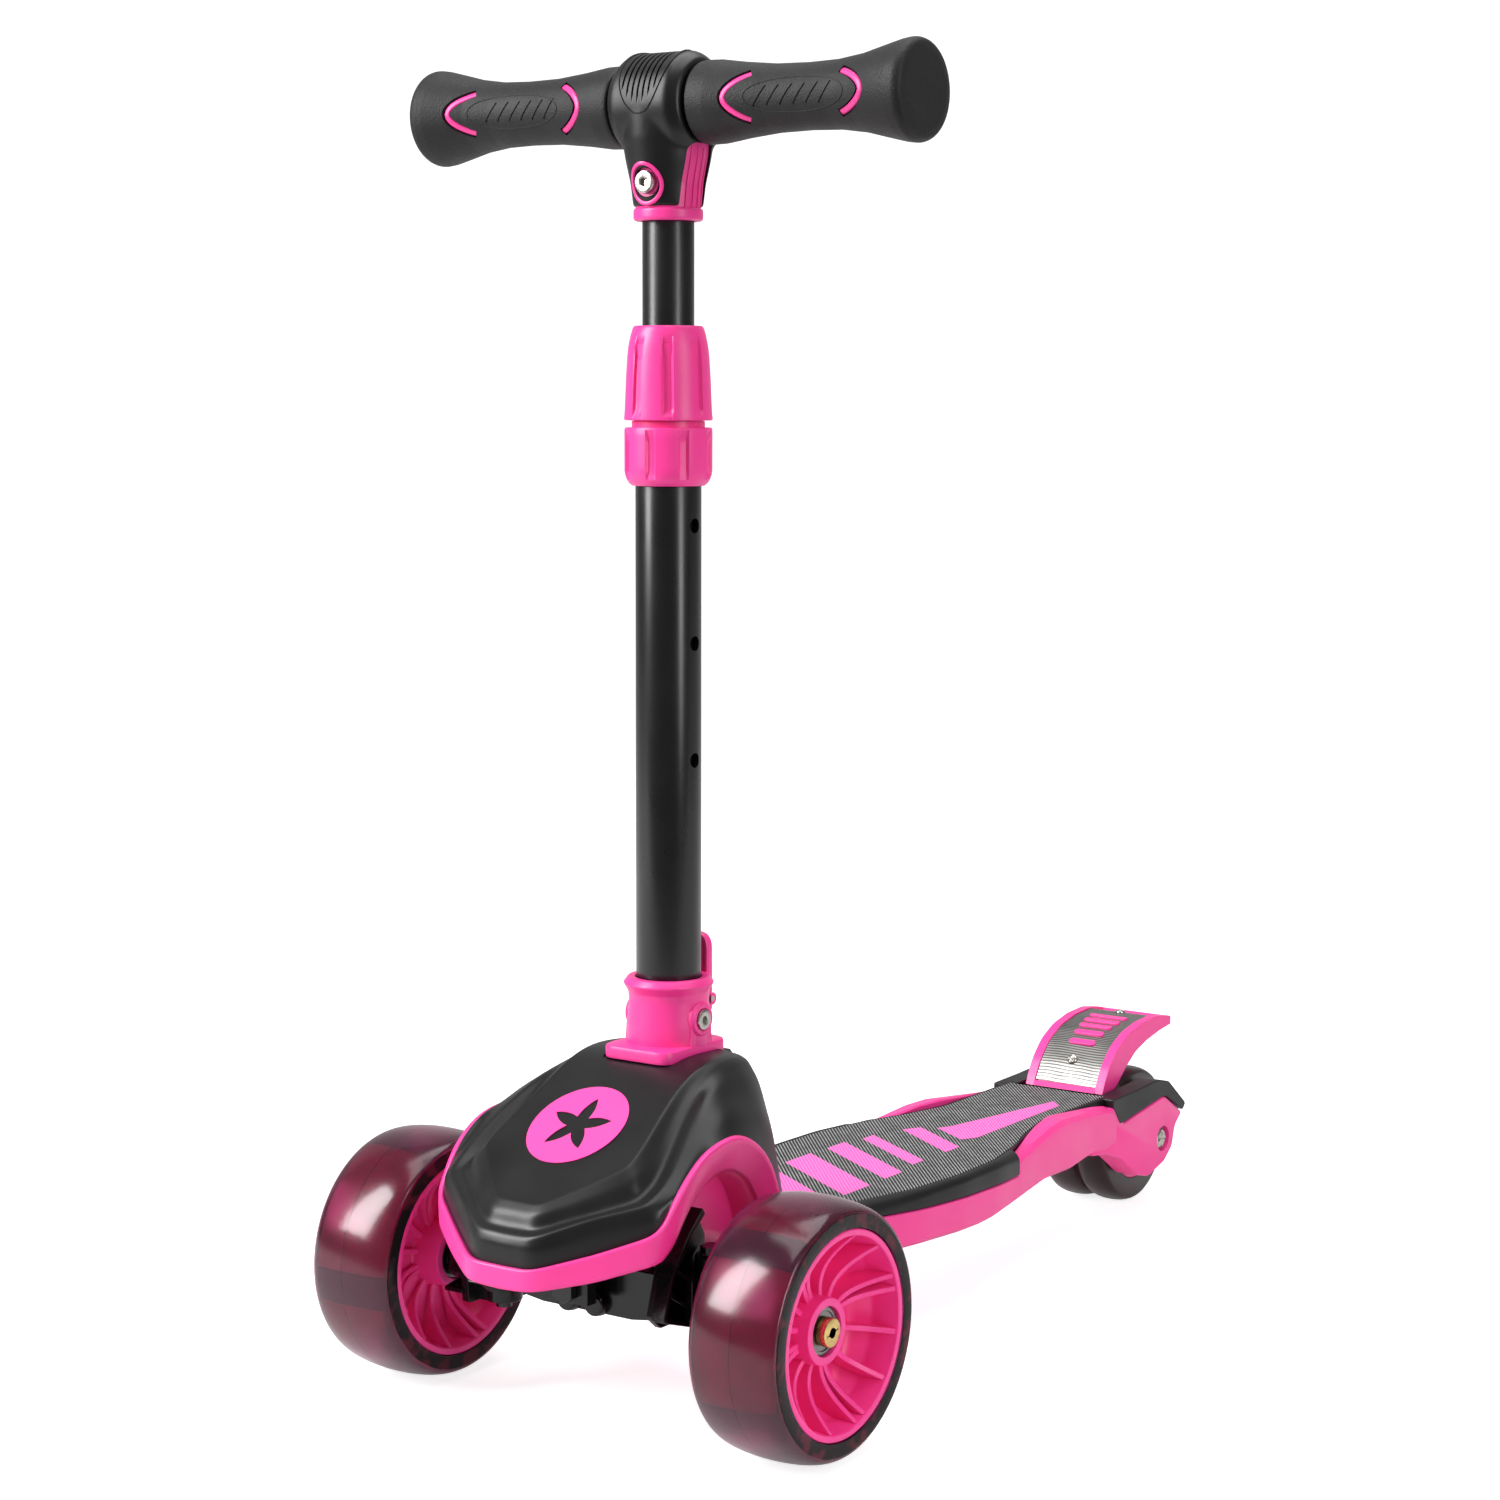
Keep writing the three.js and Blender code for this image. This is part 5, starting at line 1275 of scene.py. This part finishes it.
def foot():
    bm = bmesh.new()
    body = [
        (15.8, FOOT_Z + 3), (20, FOOT_Z + 3), (19.9, FOOT_Z + 15, 6), (19, FOOT_TOP - 10.5, 6),
        (19.4, FOOT_TOP - 7, 4), (21.7, FOOT_TOP - 3, 1.2), (19.4, FOOT_TOP, 1), (15.9, FOOT_TOP, 0.6),
    ]
    lathe(bm, fillet(body, 0.5, 5), "z", COLUMN)
    front, back = COLUMN_Y - 28, COLUMN_Y + 21.8
    plate = fillet([(-20, front), (20, front), (20, back), (-20, back)], 8, 8)
    loops = []
    for inset, z in ((1.0, 0), (0.2, 0.5), (0, 1.4), (0, 5), (0.35, 6), (1.3, 6.5)):
        wide, long = 1 - inset / 20, 1 - inset / 25
        loops.append([(p.x * wide, COLUMN_Y + (p.y - COLUMN_Y) * long, FOOT_Z + z) for p in plate])
    loft(bm, loops)
    boss = [(0, 12), (9.2, 12), (8.6, 19.3, 1.5), (7.2, 20.6, 0.8), (5.5, 20.6, 0.4), (5.3, 19.2), (0, 19.2)]
    for sign in (1, -1):
        turned = [(r, sign * x) for r, x in fillet(boss, 0, 4, closed=False)]
        lathe(bm, turned, at=(0, COLUMN_Y, FOOT_BOLT_Z), steps=64, closed=False)
        pad = [(-8.4, FOOT_Z + 6), (8.4, FOOT_Z + 6), (7.4, FOOT_BOLT_Z), (-7.4, FOOT_BOLT_Z)]
        prism(bm, [(COLUMN_Y + y, z) for y, z in pad], "x", sign * 12, sign * 19.4)
    rod(bm, 4.5, -10.4, 10.4, at=(0, HINGE.y, HINGE.z), steps=32)
    block(bm, (-10.4, HINGE.y - 12, FOOT_Z + 0.2), (10.4, HINGE.y + 3.8, FOOT_Z + 3.8))
    block(bm, (-10.4, HINGE.y - 3.8, HINGE.z), (10.4, HINGE.y + 3.8, FOOT_Z + 3.8))
    piece("foot_casting", bm, "stem", PINK, "column_foot", crease=32)
    bm = bmesh.new()
    at = Matrix.Translation((19.3, COLUMN_Y, FOOT_BOLT_Z)) @ facing((1, 0, 0))
    moved(bm, socket_head(bm, 4.9, 2.2, 3.4, 1.6), at)
    rod(bm, 2.4, -19, 19.2, at=(0, COLUMN_Y, FOOT_BOLT_Z), steps=24)
    moved(bm, hex_nut(bm, 4.4), Matrix.Translation((-19.3, COLUMN_Y, FOOT_BOLT_Z)) @ facing((-1, 0, 0)))
    piece("foot_screw", bm, "stem", NICKEL, "foot_bolt")
    bm = bmesh.new()
    top = FOOT_TOP + 17.6
    outline = fillet([(-8, FOOT_Z + 18, 1), (8, FOOT_Z + 18, 1), (8, top, 7), (-8, top, 7)], 2, 8)
    prism(bm, outline, "y", 70.6, 72.6)
    path = [(p.x * 0.88, 72, FOOT_Z + 18 + (p.y - FOOT_Z - 18) * 0.985) for p in outline]
    strip_along(bm, path, [(0, 1, 0)] * len(path), 1.9, 4.6, closed=True)
    rod(bm, 3, -8, 8, at=(0, 74.2, FOOT_Z + 23), steps=32)
    piece("release_lever", bm, "fold_lever", PINK, "fold_lever", bevel=0.5, crease=40)
    bm = bmesh.new()
    rod(bm, 1.4, -8.1, 8.1, at=(0, 74.2, FOOT_Z + 23), steps=24)
    piece("lever_pin", bm, "stem", NICKEL, "fold_lever_pin")


# Height above the ring, half width and half depth of the head's neck.
NECK = [(6.3, 16.2, 16.2), (17, 17.2, 18), (28, 19.2, 21), (37, 20.3, 23), (48, 20.5, 23.9), (58, 20.5, 23.9)]


def neck_r(z, deep=False):
    return value_at([(RING_Z + h, d if deep else w) for h, w, d in NECK], z)


def round_bar(x, turn, lift=0.0, radius=24):
    """A point turned up from straight ahead, on the head's barrel unless a radius is given."""
    r = radius + lift
    return Vector((x, COLUMN_Y - r * math.cos(turn), BAR_Z + r * math.sin(turn)))


def from_bar(path):
    """Vectors from the bar's axis out to the points of a path."""
    return [p - Vector((p.x, COLUMN_Y, BAR_Z)) for p in path]


def bar_head():
    bm = bmesh.new()
    loft(bm, [[(x, COLUMN_Y + y, RING_Z + h) for x, y in oval(w, d)] for h, w, d in NECK])
    barrel = [(0, -20.5), (20, -20.5, 2), (24, -15.5, 4), (24, 15.5, 4), (20, 20.5, 2), (0, 20.5)]
    lathe(bm, fillet(barrel, 3, 4, closed=False), at=(0, COLUMN_Y, BAR_Z), steps=96, closed=False)
    made = piece("head", bm, "bar", BLACK, "bar_head")
    skin = made.modifiers.new("Skin", "REMESH")
    skin.mode = "VOXEL"
    skin.voxel_size = 0.9 * MM
    skin.use_smooth_shade = True
    soften = made.modifiers.new("Soften", "SMOOTH")
    soften.factor = 0.5
    soften.iterations = 14
    cut = bmesh.new()
    window = [(-9.5, RING_Z + 3), (9.5, RING_Z + 3), (9.5, RING_Z + 35, 5), (-9.5, RING_Z + 35, 5)]
    window = [(COLUMN_Y + p[0], *p[1:]) for p in window]
    for sign in (1, -1):
        prism(cut, fillet(window, 0, 6), "x", sign * 9, sign * 30)
    moved(cut, rod(cut, 6.6, 0, 8, "z", steps=48),
          Matrix.Translation((0, COLUMN_Y - 15.2, HEAD_BOLT_Z)) @ facing((0, -1, 0)))
    for k in range(7):
        x = -9 + 3 * k
        reach = 62 * math.sqrt(1 - (x / 13.5) ** 2)
        loops = []
        for i in range(19):
            turn = math.radians(58 + reach * (i / 9 - 1))
            ends = 0.9 * min(1, (9 - abs(i - 9)) / 2)
            loops.append(
                [
                    round_bar(x - 0.45, turn, -ends), round_bar(x + 0.45, turn, -ends),
                    round_bar(x + 0.7, turn, 1.2), round_bar(x - 0.7, turn, 1.2),
                ]
            )
        loft(cut, loops)
    sharpened(carved(made, cut), 40)
    bm = bmesh.new()
    turns = [TURN * i / 72 for i in range(72)]
    path = [round_bar(13.6 * math.sin(t), math.radians(58 - 71 * math.cos(t)), 0.05) for t in turns]
    strip_along(bm, path, from_bar(path), 0.9, 0.9, closed=True, corners=8)
    piece("head_border", bm, "bar", BLACK)


def head_trim():
    bm = bmesh.new()
    ring = [(12.5, 0), (16.2, 0, 2.9), (16.2, 6, 2.9), (12.5, 6)]
    lathe(bm, [(p.x, RING_Z + p.y) for p in fillet(ring, 0, 8)], "z", COLUMN)
    insert = [(12.5, 5.5), (15, 5.5), (16, 17, 4), (18.4, 29, 4), (19.2, 36, 1), (12.5, 36)]
    lathe(bm, [(p.x, RING_Z + p.y) for p in fillet(insert, 0, 5)], "z", COLUMN)
    for sign in (1, -1):
        for y in (-6, -2, 2, 6):
            heights = spread_of(RING_Z + 6, RING_Z + 33, 8)
            reach = [math.sqrt((neck_r(z) - 0.9) ** 2 - y * y) for z in heights]
            path = [(sign * x, COLUMN_Y + y, z) for x, z in zip(reach, heights)]
            strip_along(bm, path, [(sign, 0, 0)] * 8, 0.8, 0.7, corners=8)
    turns = [TURN * i / 48 for i in range(48)]
    path, outs = [], []
    for t in turns:
        x, z = 8 * math.sin(t), HEAD_BOLT_Z - 0.6 + 9 * math.cos(t)
        y = -neck_r(z, True) * math.sqrt(1 - (x / neck_r(z)) ** 2)
        path.append((x, COLUMN_Y + y - 0.1, z))
        outs.append((x, y, 0))
    strip_along(bm, path, outs, 1.9, 1.6, closed=True)
    floor = rod(bm, 6.5, 0, 1, "z", steps=48)
    moved(bm, floor, Matrix.Translation((0, COLUMN_Y - 15.25, HEAD_BOLT_Z)) @ facing((0, -1, 0)))
    piece("head_sleeve", bm, "bar", PINK, "head_ring", crease=40)
    bm = bmesh.new()
    at = Matrix.Translation((0, COLUMN_Y - 16.2, HEAD_BOLT_Z)) @ facing((0, -1, 0))
    moved(bm, socket_head(bm, 5.2, 3.2, 3.8, 2), at)
    rod(bm, 2.5, -16, 18, "y", (0, COLUMN_Y, HEAD_BOLT_Z), 24)
    piece("head_screw", bm, "bar", NICKEL, "head_bolt")


# ---------- grips ----------
GRIP = eased(
    [
        (22, 17.3), (22.4, 18.7), (24, 19.1), (32, 18.9), (45, 17.1), (62, 15.4), (80, 15), (96, 15.5),
        (110, 17.4), (122, 20.3), (131, 22.4), (136.2, 23.06), (139.2, 21.5), (140, 17.5), (140, 0),
    ],
    9,
)


def grip_point(x, turn, lift):
    return round_bar(x, turn, lift, value_at(GRIP, abs(x)))


def chevron(apex, ends, spread):
    """A rounded arrow on the grip's front, as (x, turn) points."""
    points = []
    for i in range(17):
        t = i / 8 - 1
        points.append((apex + (ends - apex) * (abs(t) ** 1.7), math.radians(spread) * t))
    return points


def grip(side, sign):
    bm = bmesh.new()
    lathe(bm, [(13.4, 22)] + [(r, x) for x, r in GRIP] + [(0, 125.6), (13.4, 125.6)])
    to_side(bm, sign)
    moved(bm, bm.verts, Matrix.Translation((0, COLUMN_Y, BAR_Z)))
    made = piece(f"handle_{side}", bm, "bar", RUBBER, f"grip_{side}", crease=45)
    if sign > 0:
        marks = [chevron(42, 55, 42), chevron(117, 104, 36)]
    else:
        marks = [chevron(-118, -104, 36), chevron(-40, -52, 42)]
    cut, inlay = bmesh.new(), bmesh.new()
    for mark in marks:
        path = [grip_point(x, turn, 0) for x, turn in mark]
        outs = from_bar(path)
        strip_along(cut, path, outs, 4.2, 4)
        path = [grip_point(x, turn, -1.5) for x, turn in mark]
        strip_along(inlay, path, outs, 3.1, 2)
    for k in range(6):
        x = sign * (79 if sign > 0 else 76) + (k - 2.5) * 7
        lean = [(x + 3.2 * t, math.radians(17) * t) for t in (-1, -0.5, 0, 0.5, 1)]
        path = [grip_point(a, turn, 0) for a, turn in lean]
        strip_along(cut, path, from_bar(path), 1.1, 0.9, corners=8)
    carved(made, cut)
    sharpened(made, 40)
    piece(f"grip_arrows_{side}", inlay, "bar", PINK, f"grip_core_{side}", crease=60)
    bm = bmesh.new()
    centre = 80 * sign
    path = []
    for i in range(64):
        t = TURN * i / 64
        path.append(grip_point(centre + 27 * math.cos(t), math.radians(31) * math.sin(t), 0.02))
    strip_along(bm, path, from_bar(path), 0.7, 0.45, closed=True, corners=8)
    piece(f"grip_panel_{side}", bm, "bar", RUBBER, crease=60)


tubes()
collar_and_nut()
foot()
bar_head()
head_trim()
for side, sign in SIDES:
    grip(side, sign)


# ---------- stage, lights and camera ----------
def stage():
    """A pale floor that curves up into a backdrop."""
    bm = bmesh.new()
    profile = fillet([(-0.6, 0), (4, 0, 1.2), (4, 5)], 1.2, 16, closed=False)
    _, edges = wire(bm, [(-6, y, z) for y, z in profile], closed=False)
    grown = only_verts(bmesh.ops.extrude_edge_only(bm, edges=edges)["geom"])
    bmesh.ops.translate(bm, verts=grown, vec=(12, 0, 0))
    moved(bm, bm.verts, Matrix.Rotation(math.radians(34.9), 4, "Z"))
    bmesh.ops.recalc_face_normals(bm, faces=bm.faces)
    bmesh.ops.translate(bm, verts=bm.verts, vec=(0, 0, -0.0004))
    mesh = bpy.data.meshes.new("backdrop")
    bm.to_mesh(mesh)
    bm.free()
    for polygon in mesh.polygons:
        polygon.use_smooth = True
    paper = Finish("studio_paper", (0.6, 0.6, 0.6), 0.9)
    paper.mottle(300, 0.01).set(Emission_Color=(1, 1, 1, 1))
    seen = paper.nodes.new("ShaderNodeLightPath")
    glow = paper.spread(seen.outputs["Is Camera Ray"], 0.22, 0.8)
    paper.links.new(glow, paper.shader.inputs["Emission Strength"])
    mesh.materials.append(paper.material)
    made = bpy.data.objects.new("backdrop", mesh)
    bpy.context.scene.collection.objects.link(made)


# Name, place, point it faces, size and watts, in metres.
SOFTBOXES = (
    ("key", (-1.1, -1.5, 1.3), (0, 0, 0.25), (0.7, 1.5), 58),
    ("side", (2.1, -0.5, 0.9), (0, 0, 0.3), (0.5, 1.6), 20),
    ("top", (0.1, 0.2, 2.2), (0, 0, 0), (1.8, 1.8), 34),
)


def softbox(name, at, towards, size, watts):
    lamp = bpy.data.lights.new(name, "AREA")
    lamp.shape = "RECTANGLE"
    lamp.size, lamp.size_y = size
    lamp.energy = watts
    made = bpy.data.objects.new(name, lamp)
    made.location = at
    made.rotation_euler = (Vector(towards) - Vector(at)).to_track_quat("-Z", "Y").to_euler()
    bpy.context.scene.collection.objects.link(made)


def lights():
    world = bpy.data.worlds.new("studio")
    world.use_nodes = True
    nodes, links = world.node_tree.nodes, world.node_tree.links
    nodes["Background"].inputs["Color"].default_value = (1, 1, 1, 1)
    seen = nodes.new("ShaderNodeLightPath")
    strength = nodes.new("ShaderNodeMapRange")
    strength.inputs["To Min"].default_value = 0.2
    strength.inputs["To Max"].default_value = 1.0
    links.new(seen.outputs["Is Camera Ray"], strength.inputs["Value"])
    links.new(strength.outputs["Result"], nodes["Background"].inputs["Strength"])
    bpy.context.scene.world = world
    for box in SOFTBOXES:
        softbox(*box)


CAMERA_AT = (867.67, -1127.50, 476.14)
CAMERA_ANGLES = (34.896, 6.544, 0.144)  # yaw, pitch down and roll, in degrees
LENS = 74.71
SENSOR = 36


def camera():
    lens = bpy.data.cameras.new("camera")
    lens.lens = LENS
    lens.sensor_width = SENSOR
    made = bpy.data.objects.new("camera", lens)
    made.location = TO_FRAME @ Vector(CAMERA_AT)
    yaw, pitch, roll = (math.radians(a) for a in CAMERA_ANGLES)
    turn = Matrix.Rotation(yaw, 4, "Z") @ Matrix.Rotation(math.pi / 2 - pitch, 4, "X")
    made.rotation_euler = (turn @ Matrix.Rotation(roll, 4, "Z")).to_euler()
    bpy.context.scene.collection.objects.link(made)
    bpy.context.scene.camera = made
    bpy.context.scene.view_settings.view_transform = "Standard"


stage()
lights()
camera()

# ---------- CAD nodes that keep their own shape ----------
CARRIED = {
    "pink_plastic": PINK,
    "black_plastic": TRAY,
    "grip_rubber": MAT,
    "handle_rubber": RUBBER,
    "smoke_tyre": TYRE,
    "black_metal": LOWER_COAT,
    "gold_bolt": GOLD,
    "bright_steel": NICKEL,
    "swirled_steel": SWIRL,
    "light_ring": TYRE_CORE,
}
DARK_NODES = ("kingpin_left", "kingpin_right", "lean_bolt")
for part in frame["record"]["subparts"]:
    node = frame["nodes"][part["node"]]
    finish = LOWER_COAT if part["node"] in DARK_NODES else CARRIED[part["material_slot"]]
    node.data.materials.clear()
    node.data.materials.append(finish)
